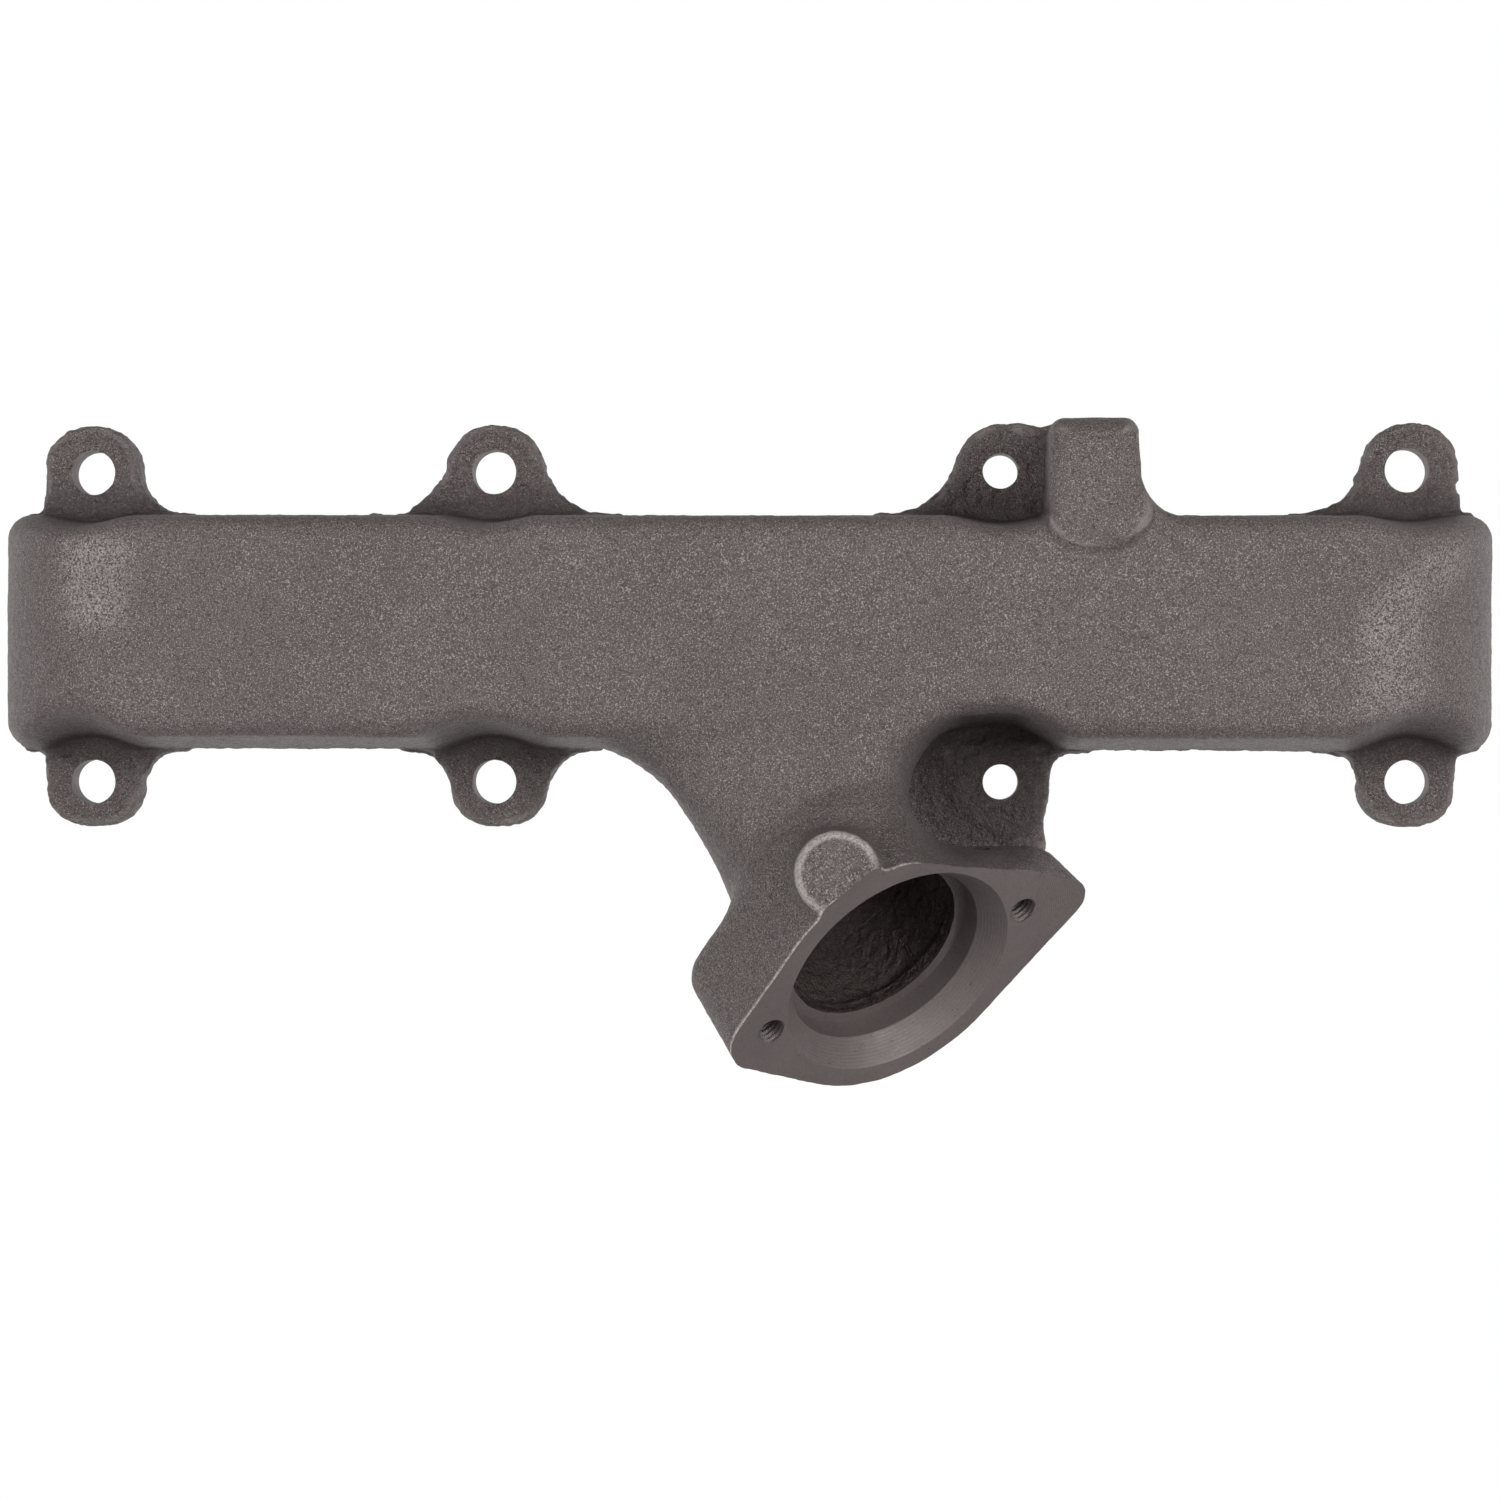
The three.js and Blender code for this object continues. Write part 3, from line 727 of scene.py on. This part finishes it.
def box_cutter(low, high, materials, finishes=(0,) * 6, to_world=None):
    """A box of small cells whose six faces (-x, +x, -y, +y, -z, +z) leave the finishes given."""
    places = [np.linspace(a, b, math.ceil((b - a) / CELL) + 1) for a, b in zip(low, high)]
    count = [len(p) for p in places]
    corner = np.arange(np.prod(count)).reshape(count)
    faces, indices = [], []
    for axis in range(3):
        for end in (0, -1):
            sheet = np.take(corner, end, axis)
            ring = [sheet[:-1, :-1], sheet[1:, :-1], sheet[1:, 1:], sheet[:-1, 1:]]
            if (axis == 1) != (end == 0):
                ring.reverse()
            cells = np.stack([c.ravel() for c in ring], 1)
            faces.append(cells)
            indices += [finishes[2 * axis + (end == -1)]] * len(cells)
    used, faces = np.unique(np.concatenate(faces), return_inverse=True)
    faces = faces.reshape(-1, 4)
    where = np.unravel_index(used, count)
    points = np.stack([places[k][where[k]] for k in range(3)], 1)
    if to_world is not None:
        points = to_world(points)
    made = new_object("cutter", points * MM, faces.tolist(), materials)
    made.data.polygons.foreach_set("material_index", indices)
    return made


def from_outlet(points):
    """Points given down, across and below the outlet's face, in the frame."""
    return OUTLET + points[:, :1] * DOWN + points[:, 1:2] * ACROSS - points[:, 2:3] * AXIS


def revolved(profile, sides, material, place, twist=None):
    """A closed solid turned from (radius, depth) pairs that start and end on its axis."""
    angles = np.arange(sides) * 2 * math.pi / sides
    points = [place(np.array([[0.0, 0.0, profile[0][1]]]))[0]]
    for r, w in profile[1:-1]:
        ring = np.stack([r * np.cos(angles), r * np.sin(angles), np.full(sides, w)], 1)
        points.extend(place(ring))
    points.append(place(np.array([[0.0, 0.0, profile[-1][1]]]))[0])
    rings = len(profile) - 2
    faces = [(0, 1 + (i + 1) % sides, 1 + i) for i in range(sides)]
    for k in range(rings - 1):
        a, b = 1 + k * sides, 1 + (k + 1) * sides
        faces += [(a + i, a + (i + 1) % sides, b + (i + 1) % sides, b + i) for i in range(sides)]
    last = 1 + (rings - 1) * sides
    tip = len(points) - 1
    faces += [(last + i, last + (i + 1) % sides, tip) for i in range(sides)]
    return new_object("cutter", np.array(points) * MM, faces, [material])


def apply_cut(piece, cutter, operation):
    step = piece.modifiers.new("cut", "BOOLEAN")
    step.operation = operation
    step.solver = "MANIFOLD"
    step.object = cutter
    step.material_mode = "TRANSFER"
    depsgraph = bpy.context.evaluated_depsgraph_get()
    result = bpy.data.meshes.new_from_object(piece.evaluated_get(depsgraph))
    piece.modifiers.remove(step)
    old = piece.data
    piece.data = result
    bpy.data.meshes.remove(old)
    bpy.data.objects.remove(cutter)


# ---------------------------------------------------------------- materials

def adder(tree):
    """A short way to add nodes to a tree with their inputs linked or set."""
    def add(kind, inputs=None, **settings):
        node = tree.nodes.new(kind)
        for key, value in settings.items():
            setattr(node, key, value)
        for key, value in (inputs or {}).items():
            if isinstance(value, bpy.types.NodeSocket):
                tree.links.new(value, node.inputs[key])
            else:
                node.inputs[key].default_value = value
        return node

    return add


def node_tools(name):
    """A new node material: its tree, its Principled shader, and its node adder."""
    material = bpy.data.materials.new(name)
    material.use_nodes = True
    tree = material.node_tree
    return material, tree, tree.nodes["Principled BSDF"], adder(tree)


def noise_factor(add, place, scale, detail=2.0, rough=0.5):
    inputs = {"Vector": place, "Scale": scale, "Detail": detail, "Roughness": rough}
    return add("ShaderNodeTexNoise", inputs).outputs["Fac"]


def ramp(add, value, low, high, out_low=0.0, out_high=1.0):
    inputs = {"Value": value, "From Min": low, "From Max": high, "To Min": out_low, "To Max": out_high}
    return add("ShaderNodeMapRange", inputs).outputs["Result"]


def mix_colour(add, factor, a, b, blend="MIX"):
    node = add("ShaderNodeMix", data_type="RGBA", blend_type=blend)
    tree = node.id_data
    for index, value in ((0, factor), (6, a), (7, b)):
        if isinstance(value, bpy.types.NodeSocket):
            tree.links.new(value, node.inputs[index])
        elif index == 0:
            node.inputs[0].default_value = value
        else:
            node.inputs[index].default_value = (*value, 1.0)
    return node.outputs[2]


def multiply(add, a, b):
    return add("ShaderNodeMath", {0: a, 1: b}, operation="MULTIPLY").outputs[0]


def attribute(add, name):
    return add("ShaderNodeAttribute", attribute_name=name).outputs["Fac"]


def cast_iron():
    """Sand-cast grey iron: dark warm skin, strongly speckled, with pits, cloudy tone and worn rims, plus
    painted highlights on shoulders and edges and painted shade in corners and recesses.
    """
    material, tree, shader, add = node_tools("cast_iron")
    place = add("ShaderNodeTexCoord").outputs["Object"]
    cloud = noise_factor(add, place, 28.0, 3.0)
    patch = noise_factor(add, place, 110.0, 3.0)
    speck = noise_factor(add, place, 2700.0, 1.5)
    grit = noise_factor(add, place, 1400.0, 2.0, 0.6)
    pit = noise_factor(add, place, 620.0, 2.0)
    coarse = attribute(add, "coarse")
    tone = mix_colour(add, ramp(add, cloud, 0.3, 0.7), (0.105, 0.083, 0.081), (0.131, 0.105, 0.103))
    tone = mix_colour(add, ramp(add, patch, 0.35, 0.7, 0.0, 0.5), tone, (0.102, 0.082, 0.08))
    tone = mix_colour(add, ramp(add, grit, 0.54, 0.36, 0.0, 0.85), tone, (0.05, 0.038, 0.038))
    # Painted highlight on the log's shoulders; it also brightens the speckles there.
    highlight_patch = multiply(add, attribute(add, "polish"), ramp(add, patch, 0.3, 0.65, 0.35, 1.0))
    tips = {0: ramp(add, speck, 0.52, 0.7), 1: ramp(add, grit, 0.45, 0.62)}
    proud = add("ShaderNodeMath", tips, operation="MAXIMUM").outputs[0]
    bright = add("ShaderNodeMath", {0: highlight_patch, 1: 1.0}, operation="ADD").outputs[0]
    bright = multiply(add, multiply(add, ramp(add, speck, 0.55, 0.68), 0.85), bright)
    bright = add("ShaderNodeClamp", {"Value": bright}).outputs[0]
    tone = mix_colour(add, bright, tone, (0.36, 0.325, 0.315))
    tone = mix_colour(add, multiply(add, multiply(add, highlight_patch, 0.6), proud), tone, (0.4, 0.36, 0.35))
    tone = mix_colour(add, ramp(add, pit, 0.33, 0.25, 0.0, 0.6), tone, (0.03, 0.023, 0.023))
    wear = multiply(add, attribute(add, "rim"), ramp(add, patch, 0.3, 0.6, 0.2, 0.7))
    tone = mix_colour(add, wear, tone, (0.27, 0.242, 0.234))
    # Painted shade: darker in the concave corners and fillets.
    tone = mix_colour(add, multiply(add, attribute(add, "corner"), 0.4), tone, (0.05, 0.039, 0.038))
    tone = mix_colour(add, multiply(add, coarse, 0.2), tone, (0.045, 0.034, 0.034))
    # Painted shade in the recesses at the feet of the ears and in the pocket.
    tone = mix_colour(add, multiply(add, attribute(add, "shade"), 0.6), tone, (0.04, 0.03, 0.03))
    # Bright edge on the flange's rim and the boss: partly fresh-cut burr, partly painted highlight.
    bright_edge = multiply(add, attribute(add, "burr"), ramp(add, grit, 0.35, 0.55, 0.3, 1.0))
    tone = mix_colour(add, bright_edge, tone, (0.5, 0.45, 0.43))
    tone = mix_colour(add, multiply(add, attribute(add, "soot"), 0.8), tone, (0.034, 0.022, 0.02))
    tree.links.new(tone, shader.inputs["Base Color"])
    rough = ramp(add, noise_factor(add, place, 600.0, 2.0), 0.3, 0.7, 0.42, 0.62)
    tree.links.new(rough, shader.inputs["Roughness"])
    shader.inputs["Metallic"].default_value = 0.35
    small = add("ShaderNodeMath", {0: grit, 1: speck}, operation="ADD").outputs[0]
    lumps = multiply(add, noise_factor(add, place, 520.0, 3.0, 0.6), ramp(add, coarse, 0.0, 1.0, 0.8, 3.2))
    height = add("ShaderNodeMath", {0: small, 1: lumps}, operation="ADD").outputs[0]
    bump = add("ShaderNodeBump", {"Height": height, "Strength": 1.0, "Distance": 0.0005})
    tree.links.new(bump.outputs["Normal"], shader.inputs["Normal"])
    return material


def machined_iron(name, marks_place):
    """Cut grey iron: smoother, a little lighter, with fine tool marks and a few open pores."""
    material, tree, shader, add = node_tools(name)
    place = add("ShaderNodeTexCoord").outputs["Object"]
    cloud = noise_factor(add, place, 40.0, 3.0)
    pore = noise_factor(add, place, 1300.0, 1.0)
    marks = marks_place(add, place)
    tone = mix_colour(add, ramp(add, cloud, 0.3, 0.7), (0.106, 0.086, 0.085), (0.132, 0.109, 0.107))
    glint = ramp(add, noise_factor(add, place, 1900.0), 0.5, 0.75, 0.0, 0.35)
    tone = mix_colour(add, glint, tone, (0.21, 0.18, 0.175))
    tone = mix_colour(add, ramp(add, pore, 0.34, 0.25, 0.0, 0.7), tone, (0.045, 0.036, 0.035))
    tone = mix_colour(add, ramp(add, marks, 0.4, 0.9, 0.0, 0.18), tone, (0.19, 0.165, 0.16))
    tree.links.new(tone, shader.inputs["Base Color"])
    rough = ramp(add, noise_factor(add, place, 300.0, 3.0), 0.3, 0.7, 0.5, 0.66)
    tree.links.new(rough, shader.inputs["Roughness"])
    shader.inputs["Metallic"].default_value = 0.35
    bump = add("ShaderNodeBump", {"Height": marks, "Strength": 0.12, "Distance": 0.0001})
    tree.links.new(bump.outputs["Normal"], shader.inputs["Normal"])
    return material


def ring_marks(add, place):
    """Rings turned about the outlet's axis."""
    centre = (OUTLET * MM).tolist()
    shifted = add("ShaderNodeVectorMath", {0: place, 1: centre}, operation="SUBTRACT").outputs[0]
    axis = AXIS.tolist()
    along = add("ShaderNodeVectorMath", {0: shifted, 1: axis}, operation="DOT_PRODUCT").outputs["Value"]
    back = add("ShaderNodeVectorMath", {0: axis, "Scale": along}, operation="SCALE").outputs[0]
    flat = add("ShaderNodeVectorMath", {0: shifted, 1: back}, operation="SUBTRACT").outputs[0]
    radius = add("ShaderNodeVectorMath", {0: flat}, operation="LENGTH").outputs["Value"]
    wave = add("ShaderNodeMath", {0: radius, 1: 2 * math.pi / 0.0006}, operation="MULTIPLY").outputs[0]
    return add("ShaderNodeMath", {0: wave}, operation="SINE").outputs[0]


def straight_marks(add, place):
    """Marks left by a milling cutter that ran along the log."""
    stretched = add("ShaderNodeMapping", {"Vector": place, "Scale": (12.0, 1.0, 420.0)}).outputs[0]
    return noise_factor(add, stretched, 4.0, 4.0, 0.6)


# ---------------------------------------------------------------- pieces

CAST = cast_iron()
TURNED = machined_iron("turned_iron", ring_marks)
MILLED = machined_iron("milled_iron", straight_marks)
FINISHES = [CAST, MILLED, TURNED]
MILLED_BACK = (0, 0, 0, 1, 0, 0)
TURNED_FACE = (0, 0, 0, 0, 2, 0)

WALL_SPLIT = 178.0
NECK_LEFT = -34.0
NECK_RIGHT = 62.0
NECK_UNDER = -45.0
EAR_SPLIT = 30.0
EAR_SIDE = 57.0
BLOCK_ZONE = (86.5, 130.0)
BLOCK_ZONE_FLOOR = 15.0
FLANGE_SEAM = 16.1
BOSS_SEAM = -40.5
BOSS_ZONE_HALF = 18.0


def finish_piece(piece, slot, *nodes):
    """Smooth shading with crisp cuts, and the attributes that the cast material reads."""
    mesh = piece.data
    mesh.polygons.foreach_set("use_smooth", np.ones(len(mesh.polygons), bool))
    mesh.set_sharp_from_angle(angle=SHARP_ANGLE)
    points = np.empty(len(mesh.vertices) * 3, np.float32)
    mesh.vertices.foreach_get("co", points)
    points = points.reshape(-1, 3) / MM
    low, high = points.min(0), points.max(0)
    x, y, z = points.T
    near_neck = meets(low, high, NECK_REACH)
    neck = depth = bore = None
    if near_neck:
        neck = neck_place(x, y, z)
        down, across, depth = outlet_frame(x, y, z)
        bore = np.hypot(down, across) - BORE_R
    inside = smooth_step(2.5, 0.8, cavity_field(x, y, z, near_neck, neck, depth, bore))
    bend = on_lattice(*EDGE_MAPS[piece.name], points)
    looks = {
        "coarse": coarseness(points),
        "shade": shade(points),
        "soot": inside,
        "rim": smooth_step(0.24, 0.6, bend),
        # Painted shade mask for the concave corners.
        "corner": smooth_step(0.08, 0.4, -bend),
        # Painted highlight mask for the log's shoulders.
        "polish": polish(points),
        # Mask for the bright edge: partly burr, partly painted highlight.
        "burr": burr(points),
    }
    for name, values in looks.items():
        layer = mesh.attributes.new(name, "FLOAT", "POINT")
        layer.data.foreach_set("value", values.astype(np.float32))
    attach(piece, "root")
    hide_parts(*nodes)
    return piece


def bolt_bore(column, side):
    def place(p):
        return np.stack([p[:, 0] + COLUMNS[column], -p[:, 2], p[:, 1] + side * BOLT_ROW], 1)

    r = BOLT_HOLE_R[column]
    return revolved([(0, -6), (r, -6), (r, 30), (0, 30)], 64, MILLED, place)


def cast_piece(name, low, high, minus=(), finishes=(0,) * 6):
    piece = cast_block(name, low, high, CAST)
    apply_cut(piece, box_cutter(low, high, FINISHES, finishes), "INTERSECT")
    for less in minus:
        apply_cut(piece, box_cutter(*less, FINISHES), "DIFFERENCE")
    return piece


def ears():
    for row, side in (("upper", 1), ("lower", -1)):
        for column, x in enumerate(COLUMNS):
            left_r, right_r = EAR_FILLETS[row][column]
            left = x - EAR_END[row][0] - left_r - 5
            right = x + EAR_END[row][0] + right_r + 5
            if (row, column) == ("upper", 2):
                right = BLOCK_ZONE[0]
            if (row, column) == ("lower", 2):
                left = EAR_SIDE
            z0, z1 = sorted((side * EAR_SPLIT, side * 66.0))
            name = f"bolt_ear_{row}_{column + 1}"
            piece = cast_piece(name, (left, LOG_BACK, z0), (right, 0, z1), finishes=MILLED_BACK)
            apply_cut(piece, bolt_bore(column, side), "DIFFERENCE")
            EAR_BOXES.append(((left, LOG_BACK - 1, z0), (right, 1, z1)))
            finish_piece(piece, "cast_iron", name)


EAR_BOXES = []
BLOCK_BOX = ((BLOCK_ZONE[0], -90.0, BLOCK_ZONE_FLOOR), (BLOCK_ZONE[1], 0.0, 75.0))
BEHIND_BLOCK = ((BLOCK_ZONE[0] - 1, LOG_BACK, -80.0), (BLOCK_ZONE[1] + 1, 1.0, EAR_SPLIT))


def rear_pieces():
    """Port flanges and rear walls, between the upper and the lower ears."""
    edges = [-220.0]
    for x in COLUMNS:
        edges += [x - PORT_FLANGE_HALF - 0.05, x + PORT_FLANGE_HALF + 0.05]
    edges[1] = edges[0]
    edges[-1] = 220.0
    spans = [(f"port_flange_{i + 1}", edges[1 + 2 * i], edges[2 + 2 * i], "machined_iron") for i in range(4)]
    spans += [(f"log_rear_wall_{i + 1}", edges[2 + 2 * i], edges[3 + 2 * i], "cast_iron") for i in range(3)]
    block_top = ((BLOCK_ZONE[0], LOG_BACK - 1, EAR_SPLIT), (BLOCK_ZONE[1], 1.0, 75.0))
    behind_neck = ((NECK_LEFT, LOG_BACK - 1, -80.0), (EAR_SIDE, 1.0, NECK_UNDER))
    for name, left, right, slot in spans:
        touching = [b for b in [*EAR_BOXES, block_top, behind_neck] if b[1][0] > left and b[0][0] < right]
        low, high = (left, LOG_BACK, LOG_BOTTOM - 12), (right, 0, LOG_TOP + 12)
        piece = cast_piece(name, low, high, touching, MILLED_BACK)
        finish_piece(piece, slot, name)


def log_walls():
    left, right = -LOG_HALF - 4, LOG_HALF + 4
    front, back = LOG_FRONT - 3, LOG_BACK
    block = (BLOCK_BOX[0], (BLOCK_BOX[1][0], LOG_BACK + 1, BLOCK_BOX[1][2]))
    walls = [
        ("log_top_wall", (left, front, ROOF_SPLIT), (right, back, LOG_TOP + 6), [block]),
        ("log_front_wall", (-WALL_SPLIT, front, FLOOR_SPLIT), (WALL_SPLIT, back, ROOF_SPLIT), [block]),
        ("log_end_elbow_left", (left, front, FLOOR_SPLIT), (-WALL_SPLIT, back, ROOF_SPLIT), []),
        ("log_end_elbow_right", (WALL_SPLIT, front, FLOOR_SPLIT), (right, back, ROOF_SPLIT), []),
        ("log_bottom_wall_left", (left, front, NECK_UNDER), (NECK_LEFT, back, FLOOR_SPLIT), []),
        ("log_bottom_wall_right", (NECK_RIGHT, front, NECK_UNDER), (right, back, FLOOR_SPLIT), []),
    ]
    for name, low, high, minus in walls:
        finish_piece(cast_piece(name, low, high, minus), "cast_iron", name)


def block_piece():
    piece = cast_piece("top_block", *BLOCK_BOX, [BEHIND_BLOCK], MILLED_BACK)
    finish_piece(piece, "cast_iron", "top_block")


def outlet_box(low, high, finishes=(0,) * 6):
    """A cutter box in the outlet's own directions: down, across and depth."""
    return box_cutter(low, high, FINISHES, finishes, from_outlet)


def stud_thread(stud):
    """The cutter of one threaded hole: a V thread wound about the stud's axis."""
    sides, rows_per_turn = 48, 8
    rows = int((STUD_DEPTH + 2) / THREAD_PITCH * rows_per_turn)
    angles = np.arange(sides) * 2 * math.pi / sides
    points = [np.array([stud[0], stud[1], -2.0])]
    for k in range(rows + 1):
        depth = -2 + k * THREAD_PITCH / rows_per_turn
        phase = (depth / THREAD_PITCH - angles / (2 * math.pi)) % 1.0
        r = THREAD_R - THREAD_HEIGHT * np.abs(2 * phase - 1)
        r = np.where(depth > STUD_DEPTH - 5, THREAD_R - THREAD_HEIGHT, r)
        for q, a in zip(r, angles):
            points.append(np.array([stud[0] + q * math.cos(a), stud[1] + q * math.sin(a), depth]))
    points.append(np.array([stud[0], stud[1], depth + 2.2]))
    faces = [(0, 1 + (i + 1) % sides, 1 + i) for i in range(sides)]
    for k in range(rows):
        a, b = 1 + k * sides, 1 + (k + 1) * sides
        faces += [(a + i, a + (i + 1) % sides, b + (i + 1) % sides, b + i) for i in range(sides)]
    last, tip = 1 + rows * sides, len(points) - 1
    faces += [(last + i, last + (i + 1) % sides, tip) for i in range(sides)]
    world = from_outlet(np.array(points))
    return new_object("cutter", world * MM, faces, [TURNED])


def neck_pieces():
    waist = bezier(NECK_PATH, 0.5)
    waist_axis = bezier([b - a for a, b in zip(NECK_PATH, NECK_PATH[1:])], 0.5)
    waist_axis = waist_axis / np.linalg.norm(waist_axis)
    turn = Vector((0, 0, 1)).rotation_difference(Vector(waist_axis)).to_matrix()
    turn = np.array(turn)

    def from_waist(points):
        return waist + points @ turn.T

    above = ((-FAR, -FAR, -FAR), (FAR, FAR, 0))
    wide_low, wide_high = (NECK_LEFT, -112.0, -150.0), (110.0, -0.2, FLOOR_SPLIT)
    rear = ((-220.0, LOG_BACK, NECK_UNDER), (220.0, 5.0, 0.0))
    ear_room = ((EAR_SIDE, LOG_BACK, -66.0), (220.0, 5.0, 0.0))
    beside_right = ((NECK_RIGHT, -FAR, NECK_UNDER), (220.0, 5.0, 0.0))
    boss_zone = ((-FAR, -BOSS_ZONE_HALF, -30.0), (BOSS_SEAM, BOSS_ZONE_HALF, FLANGE_SEAM))
    beyond_seam = ((-FAR, -FAR, -FAR), (FAR, FAR, FLANGE_SEAM))

    whole = cast_block("whole", wide_low, wide_high, CAST)
    apply_cut(whole, box_cutter(wide_low, wide_high, FINISHES), "INTERSECT")
    for name, part in (("collector_neck", "INTERSECT"), ("outlet_neck", "DIFFERENCE")):
        piece = copy_of(whole, name)
        for less in (rear, ear_room, beside_right):
            apply_cut(piece, box_cutter(*less, FINISHES), "DIFFERENCE")
        apply_cut(piece, box_cutter(*above, FINISHES, (0,) * 6, from_waist), part)
        apply_cut(piece, outlet_box(*beyond_seam), "DIFFERENCE")
        if name == "outlet_neck":
            for stud in STUDS:
                apply_cut(piece, stud_thread(stud), "DIFFERENCE")
            finish_piece(piece, "cast_iron", name, "stud_lug_1", "stud_lug_2")
        else:
            finish_piece(piece, "cast_iron", name)

    outlet_low = (-OUTLET_HALF, -OUTLET_HALF, 0)
    outlet_high = (OUTLET_HALF, OUTLET_HALF, FLANGE_SEAM)
    flange = copy_of(whole, "outlet_flange")
    bpy.data.objects.remove(whole)
    apply_cut(flange, outlet_box(outlet_low, outlet_high, TURNED_FACE), "INTERSECT")
    boss = copy_of(flange, "round_boss")
    apply_cut(boss, outlet_box(*boss_zone), "INTERSECT")
    apply_cut(flange, outlet_box(*boss_zone), "DIFFERENCE")
    slope = (SEAT_R - SEAT_INNER_R) / SEAT_DEPTH
    seat = [
        (0, -1),
        (SEAT_R + slope, -1),
        (SEAT_INNER_R, SEAT_DEPTH),
        (SEAT_INNER_R, COUNTERBORE_DEPTH),
        (0, COUNTERBORE_DEPTH),
    ]
    apply_cut(flange, revolved(seat, 160, TURNED, from_outlet), "DIFFERENCE")
    for stud in STUDS:
        apply_cut(flange, stud_thread(stud), "DIFFERENCE")
    finish_piece(flange, "machined_iron", "outlet_flange")
    finish_piece(boss, "cast_iron", "round_boss")


# ---------------------------------------------------------------- camera, light and floor

def camera():
    data = bpy.data.cameras.new("camera")
    data.lens = 110.5
    data.sensor_width = 36.0
    data.clip_start = 0.05
    data.clip_end = 50.0
    made = bpy.data.objects.new("camera", data)
    made.location = (0.0489, -1.3518, -0.0298)
    made.rotation_euler = (math.radians(89.74), 0.0, math.radians(2.05))
    bpy.context.scene.collection.objects.link(made)
    bpy.context.scene.camera = made


def soft_light(name, place, aim, size, power, tint=(1.0, 1.0, 1.0)):
    data = bpy.data.lights.new(name, "AREA")
    data.shape = "RECTANGLE"
    data.size, data.size_y = size
    data.energy = power
    data.color = tint
    made = bpy.data.objects.new(name, data)
    made.location = place
    way = Vector(aim) - Vector(place)
    made.rotation_euler = way.to_track_quat("-Z", "Y").to_euler()
    bpy.context.scene.collection.objects.link(made)


def lights():
    soft_light("left_softbox", (-1.35, -1.5, 0.1), (0, 0, 0), (0.55, 1.3), 24)
    soft_light("right_softbox", (1.25, -1.5, 0.2), (0, 0, 0), (0.45, 1.2), 26)
    soft_light("front_softbox", (0.05, -2.4, 0.75), (0, 0, 0), (1.6, 0.8), 14)
    soft_light("low_softbox", (0.2, -1.3, -0.7), (0, 0, -0.05), (1.6, 0.35), 5)


def light_path_switch(tree, add, for_eye, for_light):
    """One shader for what the camera sees directly and another for what lights the part."""
    path = add("ShaderNodeLightPath")
    choose = add("ShaderNodeMixShader", {"Fac": path.outputs["Is Camera Ray"]})
    tree.links.new(for_light, choose.inputs[1])
    tree.links.new(for_eye, choose.inputs[2])
    return choose.outputs[0]


def world():
    """White to the eye. As a light it is a bright band behind the part, dim above and below."""
    made = bpy.data.worlds.new("studio")
    made.use_nodes = True
    bpy.context.scene.world = made
    tree = made.node_tree
    tree.nodes.clear()
    add = adder(tree)
    way = add("ShaderNodeTexCoord").outputs["Generated"]
    split = add("ShaderNodeSeparateXYZ", {0: way})
    behind = ramp(add, split.outputs["Y"], -0.35, 0.4, 0.5, 1.15)
    height = add("ShaderNodeMath", {0: split.outputs["Z"]}, operation="ABSOLUTE").outputs[0]
    level = multiply(add, behind, ramp(add, height, 0.1, 0.75, 1.0, 0.22))
    lit = add("ShaderNodeBackground", {"Color": (1, 1, 1, 1), "Strength": level})
    seen = add("ShaderNodeBackground", {"Color": (1, 1, 1, 1), "Strength": 1.0})
    out = add("ShaderNodeOutputWorld")
    both_ways = light_path_switch(tree, add, seen.outputs[0], lit.outputs[0])
    tree.links.new(both_ways, out.inputs["Surface"])


def floor():
    """A pale plane far enough below that no shadow of the part shows on it."""
    material, tree, shader, add = node_tools("pale_floor")
    shader.inputs["Base Color"].default_value = (0.3, 0.3, 0.3, 1)
    shader.inputs["Roughness"].default_value = 0.9
    split = add("ShaderNodeSeparateXYZ", {0: add("ShaderNodeTexCoord").outputs["Object"]})
    aside = add("ShaderNodeMath", {0: split.outputs["X"]}, operation="ABSOLUTE").outputs[0]
    glow = add(
        "ShaderNodeMath",
        {0: ramp(add, split.outputs["Y"], -0.05, 0.6, 0.2, 1.0), 1: ramp(add, aside, 0.3, 0.9, 0.0, 0.55)},
        operation="MAXIMUM",
    ).outputs[0]
    shader.inputs["Emission Color"].default_value = (1, 1, 1, 1)
    tree.links.new(glow, shader.inputs["Emission Strength"])
    seen = add("ShaderNodeEmission", {"Color": (1, 1, 1, 1), "Strength": 1.0})
    out = tree.nodes["Material Output"]
    both_ways = light_path_switch(tree, add, seen.outputs[0], shader.outputs[0])
    tree.links.new(both_ways, out.inputs["Surface"])
    corners = [(-12, -12, 0), (12, -12, 0), (12, 12, 0), (-12, 12, 0)]
    made = new_object("floor", corners, [(0, 1, 2, 3)], [material])
    made.location = (0, 0, -0.3)


camera()
lights()
world()
floor()
scene = bpy.context.scene
scene.view_settings.view_transform = "Standard"
scene.view_settings.look = "None"

ears()
rear_pieces()
log_walls()
block_piece()
neck_pieces()
